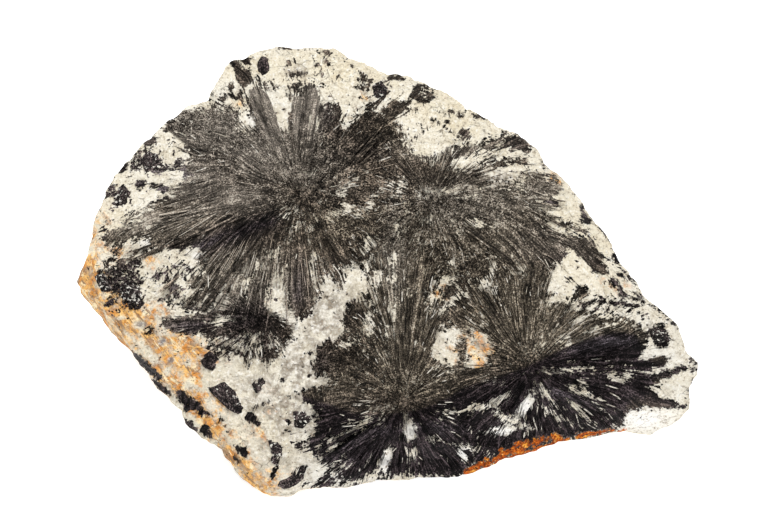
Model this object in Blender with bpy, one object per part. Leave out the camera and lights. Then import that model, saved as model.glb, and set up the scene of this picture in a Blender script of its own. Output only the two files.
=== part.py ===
"""Aegirine crystal specimen.

A broken chunk of feldspar rock, about 12 cm long, with black radiating aegirine suns set in its
upper face and its steep front face, and a few single aegirine crystals set in the rock around
them. The rock is a loft, and every crystal sits in a pocket of the rock's own surface.
"""

import math

import bmesh
import bpy
import numpy as np

# Driving dimensions, in metres
WIDTH = 0.120
GAP = 0.0003
SUN_RIM_DEPTH = 0.0045
SUN_CORE_DEPTH = 0.0085
RIDGE_LIFT = 0.0010
VALLEY_LIFT = 0.0002
BLADE_LIFT = 0.0022
BLADE_EDGE_LIFT = 0.0008
BLADE_DEPTH = 0.0034
CRYSTAL_LIFT = 0.0007
CRYSTAL_EDGE_LIFT = 0.0003
CRYSTAL_DEPTH = 0.0036
POCKET_TOP = 0.0040
POCKET_GROWTH = 1.25 * GAP
POCKET_DROP = 1.4 * GAP
MERGE = 0.000001

# Where a ray stops short of the rock's rim: height above the floor, share of the way to the outline
LOWEST_TIP = 0.0042
WIDEST_TIP = 0.955
SHORTENINGS = 8
SHORTENED = 0.96
FLOOR_MARGIN = 0.0020
FLOOR_SLANT = 1.2

# Rings from the middle of each kind of body out to its outline, as shares of the way
SUN_SHARES = (0.22, 0.48, 0.74, 1.0)
BLADE_SHARES = (0.45, 1.0)
CRYSTAL_SHARES = (0.6, 1.0)
POCKET_SHARES = (0.3, 0.65, 1.0)

# Rays of a sun: how high their ridges stand ring by ring, how far the valleys between them reach,
# and how much the tips vary in direction (degrees) and in length
SUN_TAPER = (0.75, 1.0, 0.8, 0.35)
VALLEY_REACH = 0.86
TIP_TURN = 1.5
TIP_LENGTHS = (0.95, 1.04)

# Outline of a blade: where it is widest and where it narrows, as shares of its length
BLADE_SHOULDER = 0.12
BLADE_NECK = 0.84
BLADE_NARROWING = 0.8

# Rings of the rock's net
UPPER_RINGS = 12
WALL_RINGS = 4
BACK_RINGS = 4

# How the shape was read: a view from 50 degrees above the horizon, 768 by 512 pixels, 100 mm lens
ELEVATION = math.radians(50.0)
FOCAL = 768 * 100.0 / 36.0
VIEW_CENTRE = (384.0, 256.0)
LEFT_END_PIXEL = 78.0
RIGHT_END_PIXEL = 699.0
DISTANCE = FOCAL * WIDTH / (RIGHT_END_PIXEL - LEFT_END_PIXEL)
AIM = np.array([-0.0002, 0.0025, 0.0200])
FORWARD = np.array([0.0, math.cos(ELEVATION), -math.sin(ELEVATION)])
UPWARD = np.array([0.0, math.sin(ELEVATION), math.cos(ELEVATION)])
EYE = AIM - DISTANCE * FORWARD
HEART = np.array([0.0, 0.0, 0.010])
HEART_SPAN = 0.5
PIXEL = DISTANCE / FOCAL

# Pixel that every ring of the net goes round
HUB = (360.0, 265.0)

# Outline of the rock as seen: pixel across, pixel down, height above the floor in millimetres
OUTLINE = [
    (298, 47, 39), (335, 48, 39), (349, 57, 38.5), (387, 74, 38), (406, 75, 37.5), (431, 87, 36.5),
    (457, 99, 35.5), (473, 112, 35), (504, 129, 33.5), (517, 133, 33), (538, 150, 32),
    (546, 164, 31.5), (570, 185, 30), (591, 217, 28.5), (602, 228, 28), (620, 260, 26.5),
    (646, 297, 24), (662, 311, 22), (680, 328, 19.5), (686, 352, 17), (698, 362, 15.5),
    (699, 375, 13), (689, 388, 11), (688, 409, 7), (680, 420, 4.5), (663, 428, 2.5), (650, 435, 1),
    (626, 431, 1), (598, 436, 0.5), (559, 442, 0), (538, 450, 0), (505, 460, 0), (484, 470, 0),
    (459, 476, 0), (421, 478, 0.5), (376, 480, 0.5), (352, 487, 0), (317, 489, 0.5), (303, 490, 1),
    (288, 498, 1), (264, 495, 1.5), (253, 487, 2), (240, 476, 3), (221, 450, 5), (198, 434, 6),
    (184, 425, 7), (181, 413, 7.5), (152, 383, 9), (131, 352, 11), (100, 317, 14), (81, 293, 16),
    (78, 282, 17), (86, 253, 20), (95, 216, 23), (109, 185, 25), (128, 161, 27), (151, 137, 29.5),
    (174, 117, 31), (187, 106, 31.5), (208, 100, 32.5), (210, 92, 34), (217, 83, 35.5),
    (223, 70, 37), (230, 61, 37.5), (244, 57, 38), (265, 49, 38.5),
]

# Edge round the upper face: the front ridge, the left strip's edge, and just inside the rim
EDGE = [
    (300, 62, 39.5), (335, 64, 39.5), (362, 82, 38.5), (398, 94, 37.8), (438, 110, 36.8),
    (475, 132, 35.4), (510, 158, 33.8), (538, 186, 32.2), (566, 222, 30.4), (594, 262, 28.4),
    (622, 299, 26), (648, 322, 23.5), (642, 337, 22.4), (590, 342, 21.2), (555, 355, 20.4),
    (528, 369, 19.6), (500, 373, 19.2), (440, 400, 17.2), (400, 405, 16.6), (345, 397, 16.2),
    (318, 424, 11.5), (300, 452, 7.5), (272, 468, 5.6), (252, 452, 7.4), (235, 430, 9.6),
    (205, 394, 13.4), (160, 375, 14.8), (118, 325, 17.4), (100, 298, 18.8), (104, 258, 21.4),
    (121, 208, 25), (146, 174, 27.4), (178, 143, 30.2), (222, 116, 32), (236, 84, 36.4),
    (268, 66, 38.8),
]

# Heights inside the upper face
UPPER_FACE = [
    (300, 84, 38.2), (345, 96, 37.4), (262, 84, 37.2), (240, 103, 34), (300, 112, 35.4),
    (380, 112, 36.4), (300, 192, 30.8), (340, 190, 31.2), (220, 170, 30.4), (170, 200, 27.2),
    (140, 250, 23.2), (200, 260, 25.4), (160, 305, 20.6), (240, 320, 21.6), (200, 352, 17.6),
    (240, 392, 13.6), (290, 400, 14.4), (300, 355, 18.8), (345, 320, 21.6), (384, 256, 26.6),
    (403, 330, 22.8), (430, 190, 31.2), (470, 180, 32.2), (520, 210, 31.2), (480, 262, 27.4),
    (560, 285, 26.6), (440, 335, 21.4), (500, 330, 22.4), (600, 312, 24.2), (280, 440, 9.4),
]

# How far the hidden side draws in on its way down to the base, in millimetres, by direction
DRAW_IN = [
    (298, 47, 7), (406, 75, 9), (504, 129, 6), (591, 217, 8), (662, 311, 6), (699, 375, 9),
    (663, 428, 4), (598, 436, 2), (484, 470, 1.5), (376, 480, 1.5), (288, 498, 3), (221, 450, 9),
    (152, 383, 13), (81, 293, 20), (95, 216, 17), (151, 137, 14), (210, 92, 10), (244, 57, 8),
]

# Suns: pixel of the centre, number of ridges, and the reach in pixels by direction in degrees
SUNS = {
    "main_sun": ((300, 195), 27, [
        (0, 100), (20, 122), (40, 112), (60, 92), (82, 98), (97, 92), (115, 106), (125, 84),
        (136, 116), (149, 150), (156, 142), (168, 126), (180, 168), (191, 196), (202, 188),
        (214, 168), (230, 172), (243, 145), (256, 124), (270, 128), (285, 112), (300, 92),
        (320, 90), (340, 95)]),
    "right_sun": ((430, 205), 22, [
        (0, 144), (10, 120), (20, 108), (30, 100), (45, 74), (60, 68), (90, 74), (120, 84),
        (150, 72), (180, 62), (210, 60), (240, 58), (270, 56), (290, 62), (310, 82), (325, 122),
        (335, 158), (345, 162), (353, 158)]),
    "centre_sun": ((403, 396), 22, [
        (0, 46), (30, 50), (60, 70), (75, 138), (83, 160), (90, 164), (98, 160), (106, 146),
        (116, 106), (130, 72), (160, 52), (180, 46), (200, 76), (219, 118), (235, 90), (252, 78),
        (270, 74), (290, 78), (308, 90), (322, 84), (335, 62)]),
    "right_front_sun": ((529, 366), 22, [
        (0, 82), (15, 112), (26, 92), (40, 84), (60, 76), (80, 102), (95, 102), (110, 98),
        (130, 94), (145, 86), (160, 70), (178, 74), (200, 82), (220, 90), (240, 98), (260, 82),
        (280, 76), (300, 78), (318, 92), (333, 104), (348, 102)]),
    "feather_spray": ((262, 318), 16, [
        (0, 34), (60, 28), (120, 34), (150, 52), (172, 82), (184, 96), (198, 86), (212, 60), (225, 52),
        (250, 48), (270, 42), (300, 38)]),
}

# Blades that stand proud of the suns: two ends in pixels, width in pixels
BLADES = [
    ((283, 162), (256, 106), 14), ((306, 158), (309, 104), 19), ((262, 172), (190, 118), 12),
    ((255, 182), (172, 136), 12), ((248, 196), (128, 192), 11), ((246, 212), (118, 226), 12),
    ((252, 224), (134, 258), 12), ((262, 232), (158, 296), 12), ((272, 240), (196, 322), 11),
    ((304, 236), (300, 312), 12), ((328, 236), (346, 270), 10), ((352, 168), (388, 126), 11),
    ((466, 188), (530, 168), 12), ((474, 204), (564, 206), 12), ((470, 218), (574, 246), 12),
    ((462, 230), (520, 268), 11), ((394, 362), (378, 244), 12), ((409, 360), (420, 246), 12),
    ((540, 340), (560, 304), 10), ((512, 340), (478, 288), 11), ((524, 336), (520, 276), 11),
    ((380, 418), (320, 458), 11), ((428, 416), (458, 452), 11), ((546, 384), (606, 410), 12),
    ((522, 388), (494, 430), 11),
]

# Single crystals set in the rock: their outlines in pixels
CRYSTALS = {
    "slope_prism": [(204, 384), (216, 388), (246, 408), (243, 418), (231, 414), (206, 394)],
    "rim_diamond": [(203, 360), (209, 354), (214, 360), (211, 371), (204, 368)],
    "leaf_crystal": [(293, 420), (299, 410), (310, 414), (306, 426), (296, 429)],
    "tip_crystal": [(277, 478), (287, 468), (303, 466), (307, 471), (298, 480), (282, 484)],
    "middle_crystal": [(252, 382), (262, 378), (266, 386), (258, 392)],
    "lower_crystal": [(270, 442), (279, 438), (282, 450), (275, 459)],
    "plateau_crystal": [(258, 62), (263, 57), (269, 61), (269, 70), (263, 74), (258, 70)],
    "left_crystal": [(98, 278), (106, 272), (115, 281), (112, 292), (103, 292)],
    "left_low_crystal": [(122, 286), (134, 282), (144, 292), (138, 304), (124, 300)],
    "upper_left_crystal": [(140, 160), (149, 151), (162, 156), (158, 170), (143, 173)],
    "rim_crystal": [(112, 192), (121, 181), (127, 188), (120, 202), (112, 203)],
    "right_crystal": [(651, 332), (658, 327), (667, 334), (665, 343), (654, 343)],
    "niche_crystal": [(372, 88), (381, 84), (388, 91), (384, 99), (374, 98)],
}

# Shape of the rock's walls: how the visible wall falls, and where the hidden side bellies out
MISFIT_POWER = 6
WALL_POWER = 1.25
BELLY_SHARE = 0.25
BELLY_HEIGHT = 0.40

# Relief of the broken faces
LUMP_HEIGHT, LUMP_LENGTH = 0.0012, 0.017
KNOB_HEIGHT, KNOB_LENGTH = 0.0008, 0.0075
LEDGE_HEIGHT, LEDGE_SPACING = 0.0011, 0.0085
LEDGE_BEND, LEDGE_BEND_LENGTH = 0.7, 0.022
HIDDEN_RELIEF = 1.7
CLEAVAGE = np.array([0.42, 0.36, 0.83])

# Where the relief fades out: near the outline (share of the way), near the floor and on low walls
RIM_FADE = 0.06
FLOOR_FADE = 0.004
LOW_WALL = 0.015

# Colours, linear
FELDSPAR = (0.73, 0.66, 0.53, 1.0)
AEGIRINE = (0.030, 0.028, 0.022, 1.0)


def lattice(cell, seed):
    """Fixed pseudo-random value from -1 to 1 for each whole-number cell."""
    mask = 0xFFFFFFFF
    mixed = (cell[..., 0] * 73856093) ^ (cell[..., 1] * 19349663) ^ (cell[..., 2] * 83492791)
    mixed = (mixed ^ (seed * 2654435761)) & mask
    mixed = ((mixed ^ (mixed >> 13)) * 1274126177) & mask
    mixed = mixed ^ (mixed >> 16)
    return mixed / mask * 2.0 - 1.0


def noise(points, length, seed):
    """Smooth value noise from -1 to 1 over space, with lumps about one length wide."""
    scaled = points / length
    cell = np.floor(scaled).astype(np.int64)
    part = scaled - cell
    part = part * part * (3.0 - 2.0 * part)
    total = np.zeros(points.shape[:-1])
    for corner in np.ndindex(2, 2, 2):
        share = np.ones(points.shape[:-1])
        for axis, side in enumerate(corner):
            share = share * (part[..., axis] if side else 1.0 - part[..., axis])
        total = total + share * lattice(cell + np.array(corner), seed)
    return total


def place(across, down, height):
    """Points at a height in metres that are seen at the given pixels."""
    right = (across - VIEW_CENTRE[0]) / FOCAL
    rise = (VIEW_CENTRE[1] - down) / FOCAL
    ray = right[..., None] * np.array([1.0, 0.0, 0.0]) + FORWARD + rise[..., None] * UPWARD
    reach = (height - EYE[2]) / ray[..., 2]
    return EYE + reach[..., None] * ray


def polar(readings):
    """Direction round the hub, distance from it and value of each reading, in order of direction."""
    table = np.array(readings, dtype=float)
    across = table[:, 0] - HUB[0]
    down = table[:, 1] - HUB[1]
    direction = np.mod(np.arctan2(down, across), 2 * math.pi)
    order = np.argsort(direction)
    return direction[order], np.hypot(across, down)[order], table[order, 2]


def along(direction, known, values):
    """Value in any direction, straight from each reading to the next, all the way round."""
    return np.interp(direction, known, values, period=2 * math.pi)


OUTLINE_POLAR = polar(OUTLINE)
EDGE_POLAR = polar(EDGE)
DRAW_IN_POLAR = polar(DRAW_IN)


def outward(points):
    """Unit vectors away from the rock's middle line, which runs left to right."""
    ray = points - HEART
    ray[..., 0] = (1.0 - HEART_SPAN) * points[..., 0]
    return ray / np.linalg.norm(ray, axis=-1, keepdims=True)


def sheet_kernel(first, second):
    """Thin plate kernel between two sets of pixels."""
    gap = ((first[:, None, :] - second[None, :, :]) / 100.0) ** 2
    square = gap.sum(axis=2)
    return square * np.log(square + 1e-12)


def fit_sheet(readings):
    """The smoothest sheet through the readings, as weights of the kernel and a plane."""
    table = np.array(readings, dtype=float)
    pixels = table[:, :2]
    count = len(table)
    plane = np.column_stack([np.ones(count), pixels / 100.0])
    system = np.zeros((count + 3, count + 3))
    system[:count, :count] = sheet_kernel(pixels, pixels)
    system[:count, count:] = plane
    system[count:, :count] = plane.T
    wanted = np.concatenate([table[:, 2], np.zeros(3)])
    return pixels, np.linalg.solve(system, wanted)


SHEET_PIXELS, SHEET_WEIGHTS = fit_sheet(UPPER_FACE + EDGE)


def sheet_height(across, down):
    """Height in millimetres of the sheet at any pixels."""
    flat = np.column_stack([np.ravel(across), np.ravel(down)])
    plane = np.column_stack([np.ones(len(flat)), flat / 100.0])
    value = sheet_kernel(flat, SHEET_PIXELS) @ SHEET_WEIGHTS[:-3] + plane @ SHEET_WEIGHTS[-3:]
    return value.reshape(np.shape(across))


def seen_height(across, down):
    """Height in metres of the visible surface: the sheet, then the wall out to the outline."""
    aside = across - HUB[0]
    below = down - HUB[1]
    direction = np.mod(np.arctan2(below, aside), 2 * math.pi)
    distance = np.hypot(aside, below)
    edge = along(direction, EDGE_POLAR[0], EDGE_POLAR[1])
    edge_height = along(direction, EDGE_POLAR[0], EDGE_POLAR[2])
    outline = along(direction, OUTLINE_POLAR[0], OUTLINE_POLAR[1])
    outline_height = along(direction, OUTLINE_POLAR[0], OUTLINE_POLAR[2])
    share = np.clip(distance / edge, 0.0, 1.0)
    edge_across = HUB[0] + edge * np.cos(direction)
    edge_down = HUB[1] + edge * np.sin(direction)
    misfit = edge_height - sheet_height(edge_across, edge_down)
    upper = sheet_height(across, down) + misfit * share ** MISFIT_POWER
    out = np.clip((distance - edge) / (outline - edge), 0.0, 1.0)
    wall = edge_height + (outline_height - edge_height) * out ** WALL_POWER
    return np.where(distance <= edge, upper, wall) / 1000.0


def outline_share(across, down):
    """0 at the hub, 1 on the outline."""
    direction = np.mod(np.arctan2(down - HUB[1], across - HUB[0]), 2 * math.pi)
    distance = np.hypot(across - HUB[0], down - HUB[1])
    return distance / along(direction, OUTLINE_POLAR[0], OUTLINE_POLAR[1])


def relief(points):
    """Lumps, knobs and cleavage ledges of a broken face, in metres."""
    bend = LEDGE_BEND * noise(points, LEDGE_BEND_LENGTH, 5)
    slant = points @ CLEAVAGE / LEDGE_SPACING + bend
    ledge = (slant - np.floor(slant) - 0.5) * LEDGE_HEIGHT
    lumps = LUMP_HEIGHT * noise(points, LUMP_LENGTH, 1)
    return lumps + KNOB_HEIGHT * noise(points, KNOB_LENGTH, 2) + ledge


def smooth_surface(across, down, lift):
    """Points over the visible surface at the given pixels, lifted outward."""
    base = place(across, down, seen_height(across, down))
    return base + np.asarray(lift)[..., None] * outward(base)


def seen_surface(across, down, lift):
    """The same with the relief of the broken rock, which fades out at the outline."""
    base = place(across, down, seen_height(across, down))
    fade = np.clip((1.0 - outline_share(across, down)) / RIM_FADE, 0.0, 1.0)
    fade = fade * np.clip(base[..., 2] / FLOOR_FADE, 0.0, 1.0)
    return smooth_surface(across, down, relief(base) * fade + lift)


def ring_pixels(direction):
    """Pixels of the rings of the visible net, from just outside the hub to the outline."""
    edge = along(direction, EDGE_POLAR[0], EDGE_POLAR[1])
    outline = along(direction, OUTLINE_POLAR[0], OUTLINE_POLAR[1])
    upper = np.linspace(0.0, 1.0, UPPER_RINGS + 1)[1:]
    wall = np.linspace(0.0, 1.0, WALL_RINGS + 1)[1:]
    distance = np.concatenate([
        upper[:, None] * edge[None, :],
        edge[None, :] + wall[:, None] * (outline - edge)[None, :],
    ])
    return HUB[0] + distance * np.cos(direction), HUB[1] + distance * np.sin(direction)


def hidden_rings(direction, rim):
    """Rings from the outline down the hidden side to the flat base."""
    draw_in = along(direction, DRAW_IN_POLAR[0], DRAW_IN_POLAR[2]) / 1000.0
    middle = rim.mean(axis=0)
    inward = middle - rim
    inward[:, 2] = 0.0
    inward = inward / np.linalg.norm(inward, axis=1, keepdims=True)
    base = rim + inward * draw_in[:, None]
    base[:, 2] = 0.0
    belly = rim + BELLY_SHARE * (base - rim)
    belly[:, 2] = BELLY_HEIGHT * rim[:, 2]
    rings = []
    for step in range(1, BACK_RINGS + 1):
        share = step / BACK_RINGS
        ring = (1 - share) ** 2 * rim + 2 * share * (1 - share) * belly + share ** 2 * base
        fade = 4.0 * share * (1.0 - share) * np.clip(rim[:, 2] / LOW_WALL, 0.0, 1.0)
        rings.append(ring - inward * (HIDDEN_RELIEF * relief(ring) * fade)[:, None])
    return np.array(rings)


def closed_mesh(name, points, faces):
    """A mesh of the given points and faces, with its faces turned outward."""
    mesh = bpy.data.meshes.new(name)
    mesh.from_pydata([tuple(point) for point in points], [], faces)
    net = bmesh.new()
    net.from_mesh(mesh)
    bmesh.ops.recalc_face_normals(net, faces=net.faces)
    if net.calc_volume(signed=True) < 0.0:
        bmesh.ops.reverse_faces(net, faces=net.faces)
    net.to_mesh(mesh)
    net.free()
    mesh.update()
    return mesh


def band_faces(rings, count, start):
    """Two triangles for each step between neighbouring rings of a closed net."""
    faces = []
    for ring in range(rings - 1):
        for step in range(count):
            ahead = (step + 1) % count
            low = start + ring * count
            high = low + count
            faces.append((low + step, low + ahead, high + ahead))
            faces.append((low + step, high + ahead, high + step))
    return faces


def rock_mesh():
    """The whole rock: upper face, walls, hidden side and flat base, lofted ring by ring."""
    direction = OUTLINE_POLAR[0]
    around = len(direction)
    across, down = ring_pixels(direction)
    seen = seen_surface(across, down, np.zeros(across.shape))
    hidden = hidden_rings(direction, seen[-1])
    hub = seen_surface(np.array([HUB[0]]), np.array([HUB[1]]), np.zeros(1))
    rings = np.concatenate([seen, hidden])
    points = np.concatenate([hub, rings.reshape(-1, 3)])
    faces = [(0, 1 + (step + 1) % around, 1 + step) for step in range(around)]
    faces += band_faces(len(rings), around, 1)
    last = 1 + (len(rings) - 1) * around
    faces.append(tuple(range(last, last + around)))
    return closed_mesh("rock", points, faces)


def grown(outline, distance):
    """A closed outline moved outward by a distance in pixels, corners kept square."""
    before = np.roll(outline, 1, axis=0)
    after = np.roll(outline, -1, axis=0)
    first = outline - before
    second = after - outline
    normal_in = np.column_stack([first[:, 1], -first[:, 0]])
    normal_out = np.column_stack([second[:, 1], -second[:, 0]])
    normal_in /= np.linalg.norm(normal_in, axis=1, keepdims=True)
    normal_out /= np.linalg.norm(normal_out, axis=1, keepdims=True)
    total = normal_in + normal_out
    total /= np.linalg.norm(total, axis=1, keepdims=True)
    square = np.clip((total * normal_in).sum(axis=1), 0.5, 1.0)
    area = (outline[:, 0] * after[:, 1] - after[:, 0] * outline[:, 1]).sum()
    side = 1.0 if area > 0 else -1.0
    return outline + side * distance * total / square[:, None]


def inlay(name, centre, outline, shares, lifts, depths, clearance=0.0):
    """A body set in the rock's surface: rings out to its outline above, a blunt cone below."""
    count = len(outline)
    centre = np.array(centre, dtype=float)
    pixels = centre + np.array(shares)[:, None, None] * (outline - centre)[None]
    surface = smooth_surface if clearance else seen_surface
    top = surface(pixels[..., 0], pixels[..., 1], lifts)
    peak = surface(centre[:1], centre[1:], lifts[0].mean(keepdims=True))
    height = seen_height(outline[:, 0], outline[:, 1])
    room = np.clip((height - FLOOR_MARGIN) / FLOOR_SLANT, 0.0, depths[0]) + clearance
    under = smooth_surface(outline[:, 0], outline[:, 1], -room)
    pit = smooth_surface(centre[:1], centre[1:], np.array([-depths[1] - clearance]))
    points = np.concatenate([peak, top.reshape(-1, 3), under, pit])
    faces = [(0, 1 + (step + 1) % count, 1 + step) for step in range(count)]
    faces += band_faces(len(shares) + 1, count, 1)
    last = 1 + len(shares) * count
    tail = last + count
    faces += [(last + step, last + (step + 1) % count, tail) for step in range(count)]
    return closed_mesh(name, points, faces)


def sun_outline(centre, ridges, reach, seed):
    """Pixels round a sun, a long tip on each ridge and a notch in each valley."""
    chance = np.random.default_rng(seed)
    steps = np.arange(2 * ridges)
    angle = steps / (2 * ridges) * 360.0 + chance.uniform(-TIP_TURN, TIP_TURN, 2 * ridges)
    table = np.array(reach, dtype=float)
    length = np.interp(angle, table[:, 0], table[:, 1], period=360.0)
    notch = np.where(steps % 2 == 0, 1.0, VALLEY_REACH)
    length = length * notch * chance.uniform(*TIP_LENGTHS, 2 * ridges)
    turn = np.radians(angle)
    ray = np.column_stack([np.cos(turn), -np.sin(turn)])
    for _ in range(SHORTENINGS):
        tip = np.array(centre) + length[:, None] * ray
        low = seen_height(tip[:, 0], tip[:, 1]) < LOWEST_TIP
        outside = outline_share(tip[:, 0], tip[:, 1]) > WIDEST_TIP
        length = np.where(low | outside, SHORTENED * length, length)
    return np.array(centre) + length[:, None] * ray


def pocket(name, centre, outline, depths):
    """The hollow that holds a body in the rock, wider and deeper than it by the gap."""
    wide = grown(outline, POCKET_GROWTH / PIXEL)
    top = np.full((len(POCKET_SHARES), len(wide)), POCKET_TOP)
    return inlay(name + "_pocket", centre, wide, POCKET_SHARES, top, depths, POCKET_DROP)


def sun_pair(name, seed):
    """A ribbed sun and the pocket that holds it."""
    centre, ridges, reach = SUNS[name]
    outline = sun_outline(centre, ridges, reach, seed)
    ribs = np.where(np.arange(2 * ridges) % 2 == 0, RIDGE_LIFT, VALLEY_LIFT)
    lifts = np.array(SUN_TAPER)[:, None] * ribs[None, :]
    depths = (SUN_RIM_DEPTH, SUN_CORE_DEPTH)
    sun = inlay(name, centre, outline, SUN_SHARES, lifts, depths)
    return sun, pocket(name, centre, outline, depths)


def blade_outline(start, end, width):
    """Pixels round a tapered blade with a pointed tip."""
    start = np.array(start, dtype=float)
    end = np.array(end, dtype=float)
    run = end - start
    side = np.array([-run[1], run[0]]) / np.linalg.norm(run) * width / 2
    tip_side = BLADE_NARROWING * side
    near = start + BLADE_SHOULDER * run
    far = start + BLADE_NECK * run
    return np.array([start, near + side, far + tip_side, end, far - tip_side, near - side])


def blade_pair(number, start, end, width):
    """A roof-shaped blade lying along a ray of a sun, and its pocket."""
    outline = blade_outline(start, end, width)
    middle = outline.mean(axis=0)
    lifts = np.array([[BLADE_LIFT], [BLADE_EDGE_LIFT]]) * np.ones((1, len(outline)))
    name = "blade_%02d" % number
    depths = (BLADE_DEPTH, BLADE_DEPTH)
    blade = inlay(name, middle, outline, BLADE_SHARES, lifts, depths)
    return blade, pocket(name, middle, outline, depths)


def crystal_pair(name):
    """A single crystal with a flat top and bevelled edges, and its pocket."""
    outline = np.array(CRYSTALS[name], dtype=float)
    centre = outline.mean(axis=0)
    depths = (CRYSTAL_DEPTH, CRYSTAL_DEPTH)
    lifts = np.array([[CRYSTAL_LIFT], [CRYSTAL_EDGE_LIFT]]) * np.ones((1, len(outline)))
    crystal = inlay(name, centre, outline, CRYSTAL_SHARES, lifts, depths)
    return crystal, pocket(name, centre, outline, depths)


def principled(name, colour, roughness):
    """A plain material."""
    material = bpy.data.materials.new(name)
    material.use_nodes = True
    shader = material.node_tree.nodes["Principled BSDF"]
    shader.inputs["Base Color"].default_value = colour
    shader.inputs["Roughness"].default_value = roughness
    material.diffuse_color = colour
    return material


def collection(name):
    """A new collection linked to the scene."""
    group = bpy.data.collections.new(name)
    bpy.context.scene.collection.children.link(group)
    return group


def add(mesh, group, material=None, cutter=False):
    """An object for a mesh, in its collection."""
    body = bpy.data.objects.new(mesh.name, mesh)
    group.objects.link(body)
    if material:
        mesh.materials.append(material)
    if cutter:
        body.hide_render = True
        body.display_type = "WIRE"
    return body


def combine(body, operation, group):
    """A Boolean of a body with each object of a collection in turn."""
    for other in group.objects:
        modifier = body.modifiers.new(other.name, "BOOLEAN")
        modifier.operation = operation
        modifier.object = other
        modifier.solver = "EXACT"


def shell_of(face):
    """Every face that can be reached from a face over shared edges."""
    reached = {face}
    waiting = [face]
    while waiting:
        for edge in waiting.pop().edges:
            for other in edge.link_faces:
                if other not in reached:
                    reached.add(other)
                    waiting.append(other)
    return reached


def settle(body):
    """Makes the body's Boolean final and drops loose chips and sealed pores."""
    depsgraph = bpy.context.evaluated_depsgraph_get()
    mesh = bpy.data.meshes.new_from_object(body.evaluated_get(depsgraph))
    net = bmesh.new()
    net.from_mesh(mesh)
    bmesh.ops.remove_doubles(net, verts=net.verts, dist=MERGE)
    left = set(net.faces)
    shells = []
    while left:
        shell = shell_of(next(iter(left)))
        shells.append(shell)
        left -= shell
    largest = max(shells, key=len)
    chips = [face for face in net.faces if face not in largest]
    bmesh.ops.delete(net, geom=chips, context="FACES")
    bmesh.ops.triangulate(net, faces=net.faces)
    net.to_mesh(mesh)
    net.free()
    body.modifiers.clear()
    body.data = mesh


def build():
    """The rock, the joined suns and the single crystals."""
    for thing in list(bpy.data.objects):
        bpy.data.objects.remove(thing)
    parts = collection("aegirine_crystal_specimen")
    pockets = collection("pockets")
    rays = collection("rays")
    feldspar = principled("feldspar", FELDSPAR, 0.75)
    aegirine = principled("aegirine", AEGIRINE, 0.38)

    rock = rock_mesh()
    rock.name = "feldspar_matrix"
    matrix = add(rock, parts, feldspar)

    for seed, name in enumerate(SUNS):
        sun, hollow = sun_pair(name, seed)
        add(hollow, pockets, cutter=True)
        if name == "main_sun":
            sun.name = "aegirine_suns"
            suns = add(sun, parts, aegirine)
        else:
            add(sun, rays, cutter=True)
    for number, (start, end, width) in enumerate(BLADES):
        blade, hollow = blade_pair(number, start, end, width)
        add(blade, rays, cutter=True)
        add(hollow, pockets, cutter=True)

    for name in CRYSTALS:
        crystal, hollow = crystal_pair(name)
        add(crystal, parts, aegirine)
        add(hollow, pockets, cutter=True)

    combine(suns, "UNION", rays)
    combine(matrix, "DIFFERENCE", pockets)
    settle(suns)
    settle(matrix)


build()
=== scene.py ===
"""The look of the aegirine crystal specimen: broken feldspar, ribbed suns, needles and stains."""
import math

import bpy
import numpy as np
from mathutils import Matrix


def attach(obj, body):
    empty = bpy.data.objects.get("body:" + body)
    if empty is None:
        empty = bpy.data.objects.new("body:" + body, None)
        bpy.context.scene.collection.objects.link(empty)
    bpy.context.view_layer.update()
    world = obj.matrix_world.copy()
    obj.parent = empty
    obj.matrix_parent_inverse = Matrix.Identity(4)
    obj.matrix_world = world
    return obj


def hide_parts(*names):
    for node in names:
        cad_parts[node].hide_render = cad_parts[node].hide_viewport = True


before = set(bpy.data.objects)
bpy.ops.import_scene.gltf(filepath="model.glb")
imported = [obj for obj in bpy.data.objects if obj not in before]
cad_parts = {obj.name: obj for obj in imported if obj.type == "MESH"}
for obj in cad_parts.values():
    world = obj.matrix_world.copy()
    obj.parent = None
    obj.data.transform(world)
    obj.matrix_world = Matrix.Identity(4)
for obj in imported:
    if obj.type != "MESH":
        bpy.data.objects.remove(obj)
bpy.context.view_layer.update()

MM = 0.001
TURN = 2.0 * math.pi
FAR_AWAY = 1e9

# The view: 50 degrees above the horizon, 768 by 512 pixels, 100 mm lens
ELEVATION = math.radians(50.0)
LENS_MM = 100.0
SENSOR_MM = 36.0
PICTURE_WIDTH = 768
FOCAL = PICTURE_WIDTH * LENS_MM / SENSOR_MM
VIEW_CENTRE = (384.0, 256.0)
WIDTH = 0.120
LEFT_END_PIXEL = 78.0
RIGHT_END_PIXEL = 699.0
DISTANCE = FOCAL * WIDTH / (RIGHT_END_PIXEL - LEFT_END_PIXEL)
PIXELS_PER_MM = FOCAL / (DISTANCE * 1000.0)
AIM = np.array([-0.0002, 0.0025, 0.0200])
FORWARD = np.array([0.0, math.cos(ELEVATION), -math.sin(ELEVATION)])
UPWARD = np.array([0.0, math.sin(ELEVATION), math.cos(ELEVATION)])
EYE = AIM - DISTANCE * FORWARD

# Middle line of the rock that relief is moved away from, and the pixel that rings are drawn round
HEART = np.array([0.0, 0.0, 0.010])
HEART_SPAN = 0.5
HUB = (360.0, 265.0)

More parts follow.
